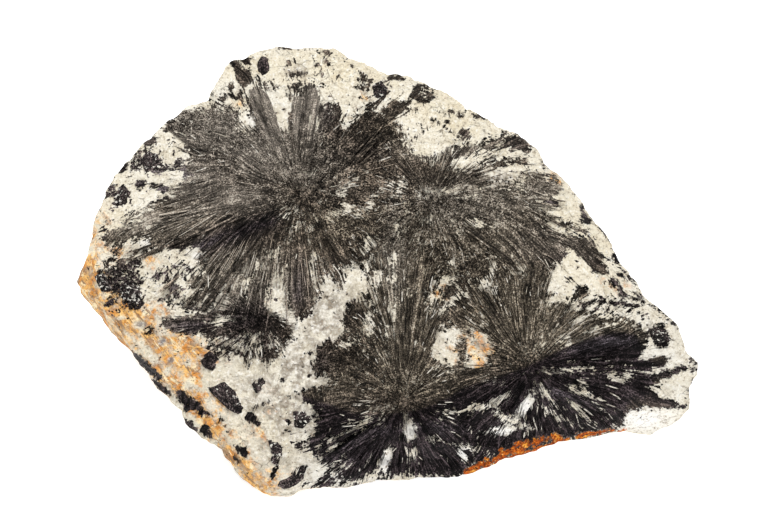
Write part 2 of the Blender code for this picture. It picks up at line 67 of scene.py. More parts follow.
# Outline of the rock as seen: pixel across, pixel down, height above the floor in millimetres
OUTLINE = [
    (298, 47, 39), (335, 48, 39), (349, 57, 38.5), (387, 74, 38), (406, 75, 37.5), (431, 87, 36.5),
    (457, 99, 35.5), (473, 112, 35), (504, 129, 33.5), (517, 133, 33), (538, 150, 32),
    (546, 164, 31.5), (570, 185, 30), (591, 217, 28.5), (602, 228, 28), (620, 260, 26.5),
    (646, 297, 24), (662, 311, 22), (680, 328, 19.5), (686, 352, 17), (698, 362, 15.5),
    (699, 375, 13), (689, 388, 11), (688, 409, 7), (680, 420, 4.5), (663, 428, 2.5), (650, 435, 1),
    (626, 431, 1), (598, 436, 0.5), (559, 442, 0), (538, 450, 0), (505, 460, 0), (484, 470, 0),
    (459, 476, 0), (421, 478, 0.5), (376, 480, 0.5), (352, 487, 0), (317, 489, 0.5), (303, 490, 1),
    (288, 498, 1), (264, 495, 1.5), (253, 487, 2), (240, 476, 3), (221, 450, 5), (198, 434, 6),
    (184, 425, 7), (181, 413, 7.5), (152, 383, 9), (131, 352, 11), (100, 317, 14), (81, 293, 16),
    (78, 282, 17), (86, 253, 20), (95, 216, 23), (109, 185, 25), (128, 161, 27), (151, 137, 29.5),
    (174, 117, 31), (187, 106, 31.5), (208, 100, 32.5), (210, 92, 34), (217, 83, 35.5),
    (223, 70, 37), (230, 61, 37.5), (244, 57, 38), (265, 49, 38.5),
]

# Edge round the upper face: the front ridge, the left strip's edge, and just inside the rim
EDGE = [
    (300, 62, 39.5), (335, 64, 39.5), (362, 82, 38.5), (398, 94, 37.8), (438, 110, 36.8),
    (475, 132, 35.4), (510, 158, 33.8), (538, 186, 32.2), (566, 222, 30.4), (594, 262, 28.4),
    (622, 299, 26), (648, 322, 23.5), (642, 337, 22.4), (590, 342, 21.2), (555, 355, 20.4),
    (528, 369, 19.6), (500, 373, 19.2), (440, 400, 17.2), (400, 405, 16.6), (345, 397, 16.2),
    (318, 424, 11.5), (300, 452, 7.5), (272, 468, 5.6), (252, 452, 7.4), (235, 430, 9.6),
    (205, 394, 13.4), (160, 375, 14.8), (118, 325, 17.4), (100, 298, 18.8), (104, 258, 21.4),
    (121, 208, 25), (146, 174, 27.4), (178, 143, 30.2), (222, 116, 32), (236, 84, 36.4),
    (268, 66, 38.8),
]

# Heights inside the upper face
UPPER_FACE = [
    (300, 84, 38.2), (345, 96, 37.4), (262, 84, 37.2), (240, 103, 34), (300, 112, 35.4),
    (380, 112, 36.4), (300, 192, 30.8), (340, 190, 31.2), (220, 170, 30.4), (170, 200, 27.2),
    (140, 250, 23.2), (200, 260, 25.4), (160, 305, 20.6), (240, 320, 21.6), (200, 352, 17.6),
    (240, 392, 13.6), (290, 400, 14.4), (300, 355, 18.8), (345, 320, 21.6), (384, 256, 26.6),
    (403, 330, 22.8), (430, 190, 31.2), (470, 180, 32.2), (520, 210, 31.2), (480, 262, 27.4),
    (560, 285, 26.6), (440, 335, 21.4), (500, 330, 22.4), (600, 312, 24.2), (280, 440, 9.4),
]

# How far the hidden side draws in on its way down to the base, in millimetres, by direction
DRAW_IN = [
    (298, 47, 7), (406, 75, 9), (504, 129, 6), (591, 217, 8), (662, 311, 6), (699, 375, 9),
    (663, 428, 4), (598, 436, 2), (484, 470, 1.5), (376, 480, 1.5), (288, 498, 3), (221, 450, 9),
    (152, 383, 13), (81, 293, 20), (95, 216, 17), (151, 137, 14), (210, 92, 10), (244, 57, 8),
]

# Suns: pixel of the centre, needles on it, and the reach in pixels by direction in degrees
SUNS = {
    "main_sun": ((300, 195), 2000, [
        (0, 100), (20, 122), (40, 112), (60, 92), (82, 98), (97, 92), (115, 106), (125, 84),
        (136, 116), (149, 150), (156, 142), (168, 126), (180, 168), (191, 196), (202, 188),
        (214, 168), (230, 172), (243, 145), (256, 124), (270, 128), (285, 112), (300, 92),
        (320, 90), (340, 95)]),
    "right_sun": ((430, 205), 1500, [
        (0, 144), (10, 120), (20, 108), (30, 100), (45, 74), (60, 68), (90, 74), (120, 84),
        (150, 72), (180, 62), (210, 60), (240, 58), (270, 56), (290, 62), (310, 82), (325, 122),
        (335, 158), (345, 162), (353, 158)]),
    "centre_sun": ((403, 396), 1500, [
        (0, 46), (30, 50), (60, 70), (75, 138), (83, 160), (90, 164), (98, 160), (106, 146),
        (116, 106), (130, 72), (160, 52), (180, 46), (200, 76), (219, 118), (235, 90), (252, 78),
        (270, 74), (290, 78), (308, 90), (322, 84), (335, 62)]),
    "right_front_sun": ((529, 366), 1400, [
        (0, 82), (15, 112), (26, 92), (40, 84), (60, 76), (80, 102), (95, 102), (110, 98),
        (130, 94), (145, 86), (160, 70), (178, 74), (200, 82), (220, 90), (240, 98), (260, 82),
        (280, 76), (300, 78), (318, 92), (333, 104), (348, 102)]),
    "feather_spray": ((262, 318), 400, [
        (0, 34), (60, 28), (120, 34), (150, 52), (172, 82), (184, 96), (198, 86), (212, 60),
        (225, 52), (250, 48), (270, 42), (300, 38)]),
}

# Border of the joined suns, in pixels
SUN_BORDER = [
    (163, 130), (173, 118), (183, 113), (196, 112), (206, 110), (213, 107), (224, 110), (233, 109),
    (238, 113), (238, 126), (244, 131), (250, 130), (256, 128), (250, 110), (249, 97), (253, 88),
    (258, 84), (264, 90), (268, 102), (271, 113), (277, 128), (284, 130), (289, 128), (290, 112),
    (294, 100), (298, 90), (304, 85), (319, 83), (318, 94), (315, 105), (309, 116), (305, 124),
    (312, 128), (318, 124), (320, 108), (326, 103), (336, 105), (342, 110), (340, 122), (344, 129),
    (352, 122), (358, 114), (364, 104), (372, 98), (376, 104), (370, 112), (380, 110), (390, 101),
    (399, 102), (404, 106), (398, 116), (392, 124), (400, 130), (406, 134), (404, 142), (410, 150),
    (418, 156), (430, 160), (442, 156), (454, 148), (473, 144), (491, 140), (509, 134), (524, 134),
    (532, 142), (530, 154), (520, 152), (509, 148), (491, 150), (471, 154), (454, 158), (446, 166),
    (452, 170), (462, 171), (471, 170), (484, 166), (500, 161), (526, 159), (527, 162), (502, 164),
    (486, 170), (478, 175), (484, 180), (503, 184), (520, 184), (524, 174), (536, 176), (546, 178),
    (556, 174), (561, 182), (560, 191), (552, 195), (544, 198), (536, 201), (530, 206), (544, 211),
    (560, 218), (575, 225), (585, 231), (575, 231), (560, 224), (546, 222), (548, 230), (556, 233),
    (571, 237), (589, 240), (596, 248), (603, 260), (609, 274), (603, 274), (593, 266), (583, 256),
    (571, 248), (564, 252), (560, 262), (552, 270), (548, 280), (542, 288), (552, 294), (545, 303),
    (556, 306), (566, 300), (578, 292), (588, 292), (583, 300), (568, 308), (562, 314), (580, 312),
    (600, 318), (618, 316), (634, 322), (645, 336), (645, 350), (640, 358), (650, 358), (662, 356),
    (669, 359), (660, 367), (644, 372), (632, 371), (618, 375), (612, 379), (626, 380), (645, 376),
    (664, 378), (684, 374), (676, 381), (655, 386), (636, 388), (618, 386), (612, 390), (628, 392),
    (648, 396), (656, 402), (668, 407), (656, 408), (640, 406), (630, 409), (624, 420), (616, 430),
    (598, 436), (559, 442), (538, 450), (505, 460), (484, 470), (459, 477), (443, 479), (421, 477),
    (400, 475), (388, 479), (372, 475), (352, 486), (334, 486), (316, 490), (326, 474), (335, 466),
    (322, 462), (330, 452), (316, 455), (304, 444), (314, 434), (318, 414), (308, 404), (299, 395),
    (312, 390), (329, 386), (329, 376), (316, 374), (313, 362), (318, 350), (328, 343), (340, 341),
    (344, 330), (340, 320), (346, 310), (362, 298), (370, 286), (364, 268), (352, 260), (345, 268),
    (340, 287), (332, 276), (326, 270), (321, 284), (318, 298), (314, 304), (309, 312), (300, 318),
    (292, 312), (286, 306), (287, 290), (284, 276), (276, 272), (271, 280), (268, 296), (262, 306),
    (272, 312), (284, 318), (291, 326), (290, 340), (282, 354), (268, 366), (258, 356), (246, 366),
    (238, 352), (226, 358), (214, 352), (210, 340), (198, 333), (180, 333), (164, 327), (163, 320),
    (176, 316), (196, 316), (208, 312), (206, 304), (198, 300), (190, 300), (196, 290), (186, 286),
    (192, 278), (204, 272), (196, 264), (206, 256), (198, 250), (186, 250), (174, 247), (164, 252),
    (152, 252), (135, 257), (107, 265), (108, 261), (130, 254), (150, 248), (146, 241), (132, 239),
    (122, 241), (120, 250), (110, 250), (107, 240), (108, 231), (128, 228), (148, 224), (140, 222),
    (124, 222), (127, 217), (145, 209), (170, 196), (183, 186), (189, 178), (200, 175), (190, 172),
    (186, 164), (189, 153), (186, 146), (189, 135), (180, 134), (170, 134),
]

# White feldspar among the rays: centre across and down, half length, half width, tilt in degrees
WHITE_SPOTS = [
    (340, 193, 5, 3, 20), (348, 207, 3.5, 2.6, 0), (333, 214, 3, 2, 0), (460, 192, 19, 1.7, 4),
    (386, 188, 6, 1.6, 30), (401, 186, 3, 5, 0), (477, 226, 7, 1.6, 15), (429, 220, 8, 2, -10),
    (518, 267, 4, 8, 30), (493, 271, 3, 5, 0), (440, 283, 12, 3.4, 15), (433, 294, 8, 6, 0),
    (484, 289, 9, 1.8, 70), (490, 291, 9, 2, 82), (473, 303, 13, 3.4, -52), (430, 314, 9, 1.6, 62),
    (447, 304, 9, 1.8, 40), (452, 336, 12, 8, -10), (446, 354, 14, 5.5, 62), (482, 346, 12, 9, -40),
    (477, 362, 7, 5, 0), (392, 278, 34, 3.0, 84), (378, 281, 20, 2.6, 78), (372, 320, 16, 1.6, 78),
    (368, 246, 8, 4, 40), (372, 262, 9, 4, 50), (524, 406, 15, 4.5, 58), (545, 392, 13, 2.4, -48),
    (505, 430, 14, 4.5, 10), (488, 404, 17, 3.2, 20), (510, 421, 10, 2.2, -30),
    (410, 429, 4, 9, 10), (385, 459, 12, 5, 66), (461, 455, 7, 2.6, -36), (413, 456, 2.4, 4.5, 0),
    (464, 448, 24, 1.3, -16), (462, 411, 13, 1.6, 8), (440, 420, 4, 3, 0), (427, 479, 20, 1.6, -2),
    (366, 482, 18, 1.5, 4), (498, 383, 6, 2, 5), (564, 370, 14, 1.2, 4), (592, 396, 10, 1.2, -60),
    (573, 402, 12, 1.4, -45), (617, 382, 9, 5, -40), (555, 415, 12, 1.5, -30),
    (585, 395, 12, 1.3, -20), (354, 430, 17, 1.8, 38), (330, 440, 14, 1.8, 36),
    (352, 446, 15, 1.4, 44), (332, 474, 14, 3.4, 30), (249, 266, 10, 2, 30), (219, 303, 13, 5, 10),
    (222, 320, 9, 3, 10), (252, 338, 8, 3, 0), (316, 282, 16, 2, -82), (275, 288, 12, 5, 60),
    (190, 256, 8, 4, 15), (560, 340, 14, 2, 28), (594, 330, 18, 2.4, 22), (575, 322, 14, 2, 24),
    (268, 262, 14, 1, 50), (256, 270, 16, 1, 46), (240, 282, 18, 1.2, 40), (226, 292, 16, 1.4, 36),
    (232, 345, 12, 3, -8), (270, 346, 6, 3, 10), (345, 345, 8, 2, 20), (330, 334, 6, 6, 0),
    (130, 247, 13, 5, 8), (455, 262, 5, 2, 20), (420, 268, 2, 10, 0), (366, 208, 4, 1.4, 30),
    (356, 178, 4, 1.4, 50), (310, 172, 3, 1.6, 0), (286, 214, 4, 1.4, 20),
]

# The blackest ray of the main sun, in pixels
BLACK_RAY = [(272, 221), (244, 230), (214, 240), (180, 256)]
BLACK_RAY_WIDTH = 10.0

# Dark aegirine in the feldspar, in the same terms as the white spots
DARK_SPOTS = [
    (246, 60, 4.5, 4, 30), (213, 92, 3, 2.4, 0), (222, 99, 7.5, 4.6, 0), (266, 86, 8.5, 4, -12),
    (287, 100, 6, 5.4, 0), (123, 168, 3, 2, 40), (153, 185, 5, 2.4, 0), (172, 193, 11, 1.4, -18),
    (177, 165, 13, 1.8, 4), (104, 227, 4, 2, 60), (171, 286, 9, 4, -35), (182, 297, 12, 3, -30),
    (167, 301, 6, 4, 0), (190, 272, 8, 3, 20), (178, 267, 6, 2, 20), (187, 305, 7, 4, 0),
    (158, 276, 4, 3, 0), (200, 322, 5, 3, 0), (109, 305, 2, 3, 0), (150, 331, 4, 3, 0),
    (600, 226, 3.2, 1.5, -50), (610, 242, 3.4, 1.6, -55), (617, 261, 11, 1.1, -64),
    (622, 274, 3, 2.4, 0), (630, 278, 7, 1.3, -56), (613, 282, 5, 3.2, -20),
    (622, 293, 4.5, 3, -50), (571, 279, 2.2, 1.6, 0), (547, 201, 6, 1.8, -8),
    (562, 231, 9, 1.2, -14), (632, 292, 7, 1.0, -20), (638, 300, 11, 1.1, -22),
    (607, 310, 8, 1.6, -40), (586, 316, 22, 1.3, 10), (632, 311, 7, 1.3, -10), (619, 325, 7, 3, 10),
    (656, 309, 6, 1.6, -26), (674, 323, 8, 1.7, -30), (644, 338, 5, 3.4, 40), (693, 361, 4, 3, 60),
    (694, 371, 1.4, 5, -20), (694, 384, 1.6, 6, 10), (687, 394, 3.4, 1.4, 40),
    (662, 421, 15, 1.0, -14), (312, 352, 3, 2, 0), (300, 446, 5, 5, 20), (306, 400, 7, 5, -20),
    (281, 447, 3, 2, 0), (451, 112, 7, 1.2, 0), (447, 122, 1.8, 1.5, 0), (451, 132, 11, 0.9, -34),
    (419, 135, 9, 1.0, 38), (460, 117, 3, 1, 0), (420, 126, 2.0, 1.4, 0), (319, 71, 10, 1.2, -66),
    (331, 67, 9, 1.3, -52), (327, 53, 5, 1.6, -24), (288, 48.5, 8, 0.9, -4), (352, 66, 4, 1.0, -40),
    (300, 74, 6, 1.4, 0), (291, 62, 4, 2, 40), (372, 80, 8, 1.0, -6), (357, 88, 7, 0.9, 5),
    (387, 85, 3, 1.4, 0), (283, 380, 3, 2, 0), (232, 398, 4, 1.2, -20), (262, 404, 5, 1.2, 30),
    (290, 432, 3, 1.6, 0), (223, 421, 3, 1, -60), (274, 474, 8, 1.6, 70), (246, 472, 1.6, 2.4, 0),
    (237, 460, 1.4, 3, 20), (286, 398, 2.4, 2, 0), (322, 478, 9, 1.2, 20), (545, 163, 2.2, 5, -20),
    (421, 78, 3, 1, -20),
]

# Crisp dark shapes in the feldspar: their outlines in pixels
DARK_SHAPES = [
    [(129, 352), (138, 353), (149, 363), (161, 375), (164, 380), (158, 379), (146, 371), (138, 363)],
    [(150, 379), (161, 382), (171, 392), (167, 396), (158, 389), (152, 383)],
    [(175, 391), (182, 390), (192, 399), (202, 404), (204, 409), (195, 411), (187, 411), (180, 405)],
    [(200, 409), (212, 414), (219, 423), (216, 424), (209, 418), (201, 416)],
    [(182, 419), (192, 422), (197, 429), (198, 434), (191, 432), (184, 427)],
    [(202, 426), (208, 424), (211, 433), (214, 440), (208, 438), (201, 432)],
    [(246, 411), (253, 413), (260, 423), (261, 426), (254, 424), (249, 426), (246, 419)],
    [(237, 446), (246, 447), (249, 453), (247, 460), (242, 455), (237, 453)],
    [(106, 270), (114, 267), (126, 260), (141, 259), (142, 265), (136, 268), (141, 276), (144, 284),
     (140, 289), (139, 296), (145, 303), (141, 308), (133, 310), (126, 306), (122, 298), (115, 292),
     (108, 289), (106, 281)],
    [(97, 267), (102, 269), (103, 277), (98, 276)],
    [(161, 325), (171, 321), (185, 318), (197, 320), (200, 326), (195, 330), (185, 333), (173, 332)],
    # The next two are painted shadow: the dark cave, crack and pit beside the left lath, drawn with
    # the aegirine look
    [(229, 61), (236, 60), (242, 68), (250, 72), (257, 80), (250, 84), (246, 85), (248, 97),
     (250, 109), (247, 109), (246, 99), (242, 87), (236, 78), (233, 67)],
    [(229, 83), (234, 83), (232, 91), (236, 95), (239, 93), (241, 88), (245, 90), (244, 97),
     (236, 101), (229, 100)],
    [(291, 84), (305, 82), (300, 87), (295, 92)],
    [(318, 104), (329, 102), (340, 109), (338, 122), (334, 128), (323, 126), (317, 120)],
    [(362, 121), (364, 117), (386, 91), (390, 91), (370, 118), (365, 124)],
    [(390, 113), (395, 107), (411, 98), (410, 105), (397, 116)],
    [(409, 100), (411, 92), (417, 83), (424, 85), (434, 90), (434, 97), (425, 105), (416, 100)],
    [(387, 77), (400, 75), (404, 80), (389, 80)],
    [(460, 131), (470, 130), (470, 138), (463, 140)],
    [(469, 111), (480, 115), (487, 120), (474, 118)],
    [(567, 240), (578, 249), (591, 255), (599, 261), (602, 269), (610, 273), (605, 277), (594, 272),
     (585, 263), (576, 255)],
    [(571, 236), (581, 240), (592, 240), (597, 245), (600, 253), (606, 258), (598, 260), (591, 254)],
    [(574, 290), (581, 284), (587, 288), (585, 293), (576, 296)],
    [(580, 206), (584, 205), (585, 212), (591, 221), (589, 225), (586, 223), (581, 216)],
    [(580, 303), (590, 300), (606, 299), (616, 302), (644, 305), (643, 308), (615, 306), (604, 303),
     (592, 306), (582, 308)],
    [(655, 324), (666, 323), (669, 333), (668, 345), (660, 347), (654, 342), (652, 333)],
    [(640, 361), (666, 356), (671, 359), (663, 365), (643, 371), (631, 374)],
    [(629, 375), (657, 373), (688, 365), (694, 367), (663, 378), (635, 382)],
    [(604, 381), (626, 384), (643, 385), (657, 395), (688, 406), (685, 410), (663, 407), (649, 404),
     (632, 410), (620, 402), (606, 398)],
    [(163, 130), (173, 118), (183, 111), (190, 109), (196, 120), (190, 127), (180, 128), (170, 131)],
    [(130, 161), (136, 150), (145, 146), (150, 151), (148, 161), (140, 169), (131, 170)],
    [(151, 157), (161, 159), (169, 166), (165, 171), (156, 175), (150, 172)],
    [(116, 173), (123, 164), (130, 162), (128, 171), (121, 175)],
    [(144, 141), (153, 138), (157, 141), (151, 148), (143, 145)],
    [(101, 197), (108, 186), (115, 185), (114, 192), (120, 193), (125, 196), (117, 201), (111, 197)],
    [(133, 186), (138, 180), (147, 179), (145, 188), (138, 190)],
]

# White shapes in the same way
WHITE_SHAPES = [
    [(264, 93), (268, 90), (280, 89), (290, 100), (293, 106), (289, 119), (288, 130), (279, 124),
     (273, 111)],
    [(323, 89), (355, 86), (360, 94), (354, 102), (341, 108), (329, 102), (322, 98)],
    [(238, 114), (246, 112), (252, 118), (255, 128), (246, 130), (238, 122)],
    [(518, 408), (530, 394), (535, 398), (531, 411), (520, 419)],
    [(491, 428), (500, 426), (512, 429), (510, 436), (494, 436)],
    [(403, 431), (407, 425), (418, 426), (416, 437), (408, 442)],
    [(378, 463), (383, 450), (393, 448), (393, 458), (388, 470), (396, 475), (384, 474)],
    [(455, 449), (461, 450), (470, 458), (466, 461), (458, 456)],
    [(645, 350), (656, 350), (672, 352), (690, 370), (690, 396), (672, 398), (659, 392), (662, 380),
     (690, 370), (662, 372), (648, 372), (668, 364), (660, 358)],
    [(627, 412), (650, 407), (684, 411), (676, 424), (652, 434), (636, 430), (628, 422)],
    [(544, 223), (552, 222), (566, 229), (566, 235), (552, 232), (546, 228)],
    [(431, 349), (438, 333), (447, 328), (457, 331), (452, 340), (458, 350), (461, 362), (452, 368),
     (440, 362), (431, 357)],
    [(467, 340), (475, 331), (484, 332), (490, 340), (486, 352), (489, 360), (478, 369), (468, 371),
     (463, 365), (467, 355)],
]

# Single crystals set in the rock: their outlines in pixels
CRYSTALS = {
    "slope_prism": [(205, 390), (214, 386), (222, 385), (232, 394), (243, 405), (243, 414),
                    (237, 417), (229, 414), (215, 401)],
    "rim_diamond": [(201, 358), (206, 353), (213, 357), (215, 364), (211, 373), (205, 369)],
    "leaf_crystal": [(293, 418), (293, 411), (303, 412), (312, 419), (308, 424), (303, 429),
                     (294, 427)],
    "tip_crystal": [(278, 483), (283, 474), (298, 466), (308, 466), (306, 473), (296, 482),
                    (284, 487)],
    "middle_crystal": [(252, 382), (262, 378), (266, 386), (258, 392)],
    "lower_crystal": [(269, 440), (276, 437), (282, 442), (283, 452), (279, 462), (273, 456)],
    "plateau_crystal": [(258, 62), (263, 57), (269, 61), (269, 70), (263, 74), (258, 70)],
    "left_crystal": [(98, 278), (106, 272), (115, 281), (112, 292), (103, 292)],
    "left_low_crystal": [(122, 286), (134, 282), (144, 292), (138, 304), (124, 300)],
    "upper_left_crystal": [(140, 160), (149, 151), (162, 156), (158, 170), (143, 173)],
    "rim_crystal": [(112, 192), (121, 181), (127, 188), (120, 202), (112, 203)],
    "right_crystal": [(651, 332), (658, 327), (667, 334), (665, 343), (654, 343)],
    "niche_crystal": [(372, 88), (381, 84), (388, 91), (384, 99), (374, 98)],
}

# Share of white flecks on the single crystals
FLECKED = {
    "left_crystal": 1.0, "left_low_crystal": 1.0, "upper_left_crystal": 0.8, "rim_crystal": 0.8,
    "right_crystal": 0.7, "leaf_crystal": 0.9, "niche_crystal": 0.8, "slope_prism": 0.6,
    "lower_crystal": 0.7, "middle_crystal": 0.6, "tip_crystal": 0.5,
}

# Blades that stand proud of the suns: two ends in pixels, width in pixels
BLADES = [
    ((283, 162), (252, 92), 14), ((306, 158), (310, 88), 19), ((262, 172), (190, 118), 12),
    ((255, 182), (172, 136), 12), ((248, 196), (172, 193), 11), ((246, 212), (118, 226), 12),
    ((252, 224), (134, 258), 12), ((262, 232), (158, 296), 12), ((272, 240), (196, 322), 11),
    ((304, 236), (300, 312), 12), ((328, 236), (346, 270), 10), ((352, 168), (388, 126), 11),
    ((466, 188), (530, 168), 12), ((474, 204), (564, 206), 12), ((470, 218), (574, 246), 12),
    ((462, 230), (520, 268), 11), ((394, 362), (378, 244), 12), ((409, 360), (420, 246), 12),
    ((540, 340), (560, 304), 10), ((512, 340), (478, 288), 11), ((524, 336), (520, 276), 11),
    ((380, 418), (320, 458), 11), ((428, 416), (458, 452), 11), ((546, 384), (606, 410), 12),
    ((522, 388), (494, 430), 11),
]

# Two broad laths with grey striated faces, their grey a painted sheen: their outlines in pixels
LATHS = {
    "left_lath": [(249, 90), (258, 87), (268, 94), (275, 112), (281, 130), (288, 152), (276, 154),
                  (266, 138), (257, 124), (252, 106)],
    "right_lath": [(293, 93), (304, 86), (319, 85), (318, 98), (311, 116), (308, 134), (305, 156),
                   (295, 155), (290, 134), (290, 112)],
}

# Feldspar with dark specks: centre across and down, half width, half height, strength
CHIP_PLACES = [
    (160, 150, 46, 40, 1.0), (120, 200, 30, 34, 1.0), (176, 284, 42, 40, 1.0),
    (130, 230, 30, 16, 0.8), (240, 446, 40, 40, 0.6), (178, 352, 60, 30, 0.5),
    (330, 66, 80, 16, 0.3), (432, 112, 50, 26, 0.45), (596, 262, 40, 60, 0.5),
    (606, 306, 46, 16, 0.9), (652, 332, 36, 24, 0.9), (300, 424, 30, 36, 0.9),
    (230, 90, 20, 30, 0.7), (270, 390, 40, 30, 0.4), (655, 390, 30, 24, 0.4),
    (545, 215, 30, 24, 0.6), (126, 284, 36, 36, 1.5), (150, 158, 42, 22, 1.4),
    (114, 192, 20, 14, 1.4), (184, 120, 30, 12, 1.2), (660, 334, 18, 18, 1.15),
    (330, 114, 16, 16, 1.4), (425, 92, 16, 12, 1.3), (230, 345, 50, 20, 1.2),
    (320, 380, 20, 60, 0.9), (185, 405, 40, 20, 0.7), (340, 120, 30, 20, 0.9),
    (390, 110, 24, 20, 0.8),
]

# Ochre stain on the feldspar in the same terms, and as lines of pixels, width and strength
OCHRE_PLACES = [
    (88, 276, 14, 24, 1.0), (104, 300, 20, 16, 1.0), (136, 318, 26, 14, 0.95),
    (186, 358, 26, 26, 0.95), (166, 340, 24, 16, 0.8), (150, 352, 14, 8, 0.7),
    (192, 392, 14, 10, 0.8), (246, 478, 14, 14, 0.9), (186, 344, 20, 12, 0.6),
    (106, 345, 30, 20, 0.5), (96, 236, 12, 26, 0.4), (120, 258, 10, 30, 0.2),
    (222, 440, 18, 18, 0.4), (280, 476, 14, 14, 0.2), (262, 300, 8, 6, 0.2),
    (268, 420, 20, 26, 0.22), (394, 166, 8, 5, 0.7), (430, 258, 9, 12, 0.6), (436, 292, 14, 9, 0.7),
    (480, 348, 18, 20, 0.62), (474, 366, 12, 10, 0.6), (473, 302, 10, 10, 0.6),
    (240, 103, 10, 6, 0.14), (363, 98, 4, 4, 0.7), (554, 180, 8, 6, 0.5), (212, 205, 8, 4, 0.2),
    (614, 284, 12, 8, 0.4), (455, 355, 12, 10, 0.4), (210, 398, 20, 16, 0.4),
    (252, 300, 20, 8, 0.2), (150, 262, 16, 8, 0.2), (445, 90, 16, 8, 0.25),
]
OCHRE_LINES = [
    ([(84, 262), (90, 288), (112, 308), (140, 330), (172, 358), (194, 376)], 15.0, 1.0),
    ([(116, 330), (150, 364), (186, 398), (214, 432), (236, 464), (258, 486)], 9.0, 0.85),
    ([(236, 462), (250, 478), (262, 486)], 12.0, 1.0),
]

# Rust along the foot of the front face: lines of pixels and their width
VIVID_LINES = [
    ([(464, 472), (482, 464), (492, 460), (505, 452), (520, 446), (545, 440), (565, 437)], 3.8),
    ([(577, 436), (600, 433), (624, 430)], 2.2),
    ([(470, 475), (484, 470), (505, 460), (538, 450), (559, 442)], 3.6),
]

# Grey clear feldspar, cream feldspar and the whitest feldspar, in the terms of the specks
GREY_PLACES = [
    (285, 402, 50, 60, 1.0), (320, 330, 26, 40, 1.0), (300, 370, 34, 34, 1.0),
    (296, 73, 11, 10, 0.9), (405, 440, 20, 12, 0.4), (216, 344, 24, 12, 0.9),
    (262, 384, 30, 26, 0.8), (330, 310, 24, 24, 1.0), (268, 416, 30, 30, 0.75),
    (350, 300, 16, 16, 0.7), (420, 290, 10, 30, 0.5), (208, 346, 20, 14, 0.7),
    (170, 270, 24, 14, 0.3), (600, 300, 30, 10, 0.3), (500, 176, 20, 6, 0.9),
    (278, 440, 20, 24, 0.7), (140, 325, 12, 7, 1.4), (162, 342, 8, 7, 1.4), (171, 360, 6, 5, 1.4),
    (120, 318, 12, 4, 1.2), (130, 248, 14, 8, 0.5), (482, 346, 18, 14, 0.9), (372, 92, 18, 12, 0.5),
    (300, 425, 20, 20, 0.7), (446, 344, 14, 14, 0.4), (226, 300, 20, 10, 0.5),
    (660, 330, 24, 18, 0.3), (316, 284, 6, 18, 0.6), (240, 470, 12, 14, 0.2),
]
CREAM_PLACES = [
    (590, 240, 30, 60, 1.0), (470, 110, 70, 30, 1.2), (250, 66, 44, 18, 1.1),
    (340, 70, 70, 24, 1.2), (110, 220, 26, 40, 0.9), (150, 280, 40, 30, 0.6),
    (240, 430, 40, 50, 0.6), (560, 200, 30, 30, 0.9), (100, 330, 50, 40, 0.9),
    (540, 160, 30, 20, 0.6), (240, 103, 12, 9, 1.3),
]
PALE_PLACES = [
    (643, 420, 28, 14, 1.0), (256, 120, 10, 10, 0.8), (262, 400, 20, 14, 0.5),
    (524, 406, 10, 14, 1.0), (500, 432, 16, 8, 1.0), (410, 433, 8, 10, 1.0),
    (386, 462, 10, 14, 1.0), (463, 454, 10, 8, 1.0), (660, 360, 30, 12, 0.4),
    (330, 478, 20, 10, 0.8), (150, 243, 12, 6, 0.8), (198, 256, 10, 6, 0.8),
]

# Painted lilac gleam and painted grey sheen, reflections put into the colour; olive and near-black
# parts of the aegirine
PAINTED_GLEAM_PLACES = [
    (612, 341, 24, 4.5, 1.0), (590, 349, 20, 5, 0.6), (560, 392, 30, 5, 0.35),
    (430, 428, 30, 6, 0.35), (380, 430, 20, 6, 0.3), (184, 326, 20, 5, 0.3), (234, 239, 30, 4, 0.3),
    (340, 455, 30, 8, 0.3),
]
PAINTED_SHEEN_PLACES = [
    (215, 132, 46, 26, 1.0), (262, 150, 40, 30, 1.0), (310, 112, 14, 40, 1.0),
    (262, 110, 12, 30, 1.0), (190, 180, 44, 26, 0.75), (300, 160, 40, 26, 0.6),
    (230, 196, 50, 22, 0.6), (560, 240, 60, 20, 0.3), (480, 200, 60, 26, 0.5),
    (540, 190, 40, 16, 0.5), (140, 222, 54, 14, 0.7), (250, 286, 60, 26, 0.5),
    (190, 246, 50, 10, 0.3), (395, 260, 12, 60, 0.5), (455, 150, 60, 12, 0.4),
    (230, 262, 60, 16, 0.4),
]
OLIVE_PLACES = [
    (400, 310, 40, 80, 1.0), (520, 310, 70, 50, 1.0), (350, 220, 80, 40, 0.5),
    (460, 240, 80, 50, 0.8), (340, 380, 50, 30, 0.6), (590, 330, 50, 20, 1.0),
    (230, 280, 60, 40, 0.8), (420, 380, 60, 20, 0.8), (500, 200, 80, 30, 0.9),
    (140, 225, 60, 24, 0.8), (250, 250, 60, 20, 0.3), (400, 130, 30, 30, 0.5),
]
VIOLET_PLACES = [
    (612, 343, 26, 12, 1.0), (560, 400, 70, 34, 0.7), (420, 440, 90, 30, 0.7),
    (340, 440, 40, 40, 0.6), (240, 320, 46, 22, 0.9), (240, 342, 40, 20, 0.8),
    (196, 326, 40, 14, 0.9), (298, 288, 8, 26, 0.8), (122, 282, 30, 22, 0.9),
    (664, 399, 34, 8, 1.0), (655, 366, 36, 5, 1.0), (666, 374, 34, 5, 1.0), (640, 390, 20, 12, 0.8),
    (152, 160, 24, 14, 0.7), (114, 192, 16, 12, 0.7), (330, 114, 10, 14, 0.6),
    (368, 150, 16, 8, 0.5), (320, 362, 16, 22, 0.7), (570, 262, 26, 10, 0.6),
    (520, 146, 16, 10, 0.4), (345, 196, 40, 12, 0.3),
]

# The dark front face, in pixels: its near-black is partly its own colour and partly painted shade, as
# it is turned from the lights
FRONT_FACE = [
    (300, 394), (330, 404), (354, 413), (385, 414), (416, 410), (440, 402), (466, 386), (495, 378),
    (522, 368), (545, 357), (568, 346), (592, 337), (615, 331), (636, 334), (646, 350), (660, 372),
    (650, 396), (632, 402), (612, 440), (559, 450), (484, 478), (376, 490), (317, 496), (292, 470),
    (302, 440), (294, 415),
]

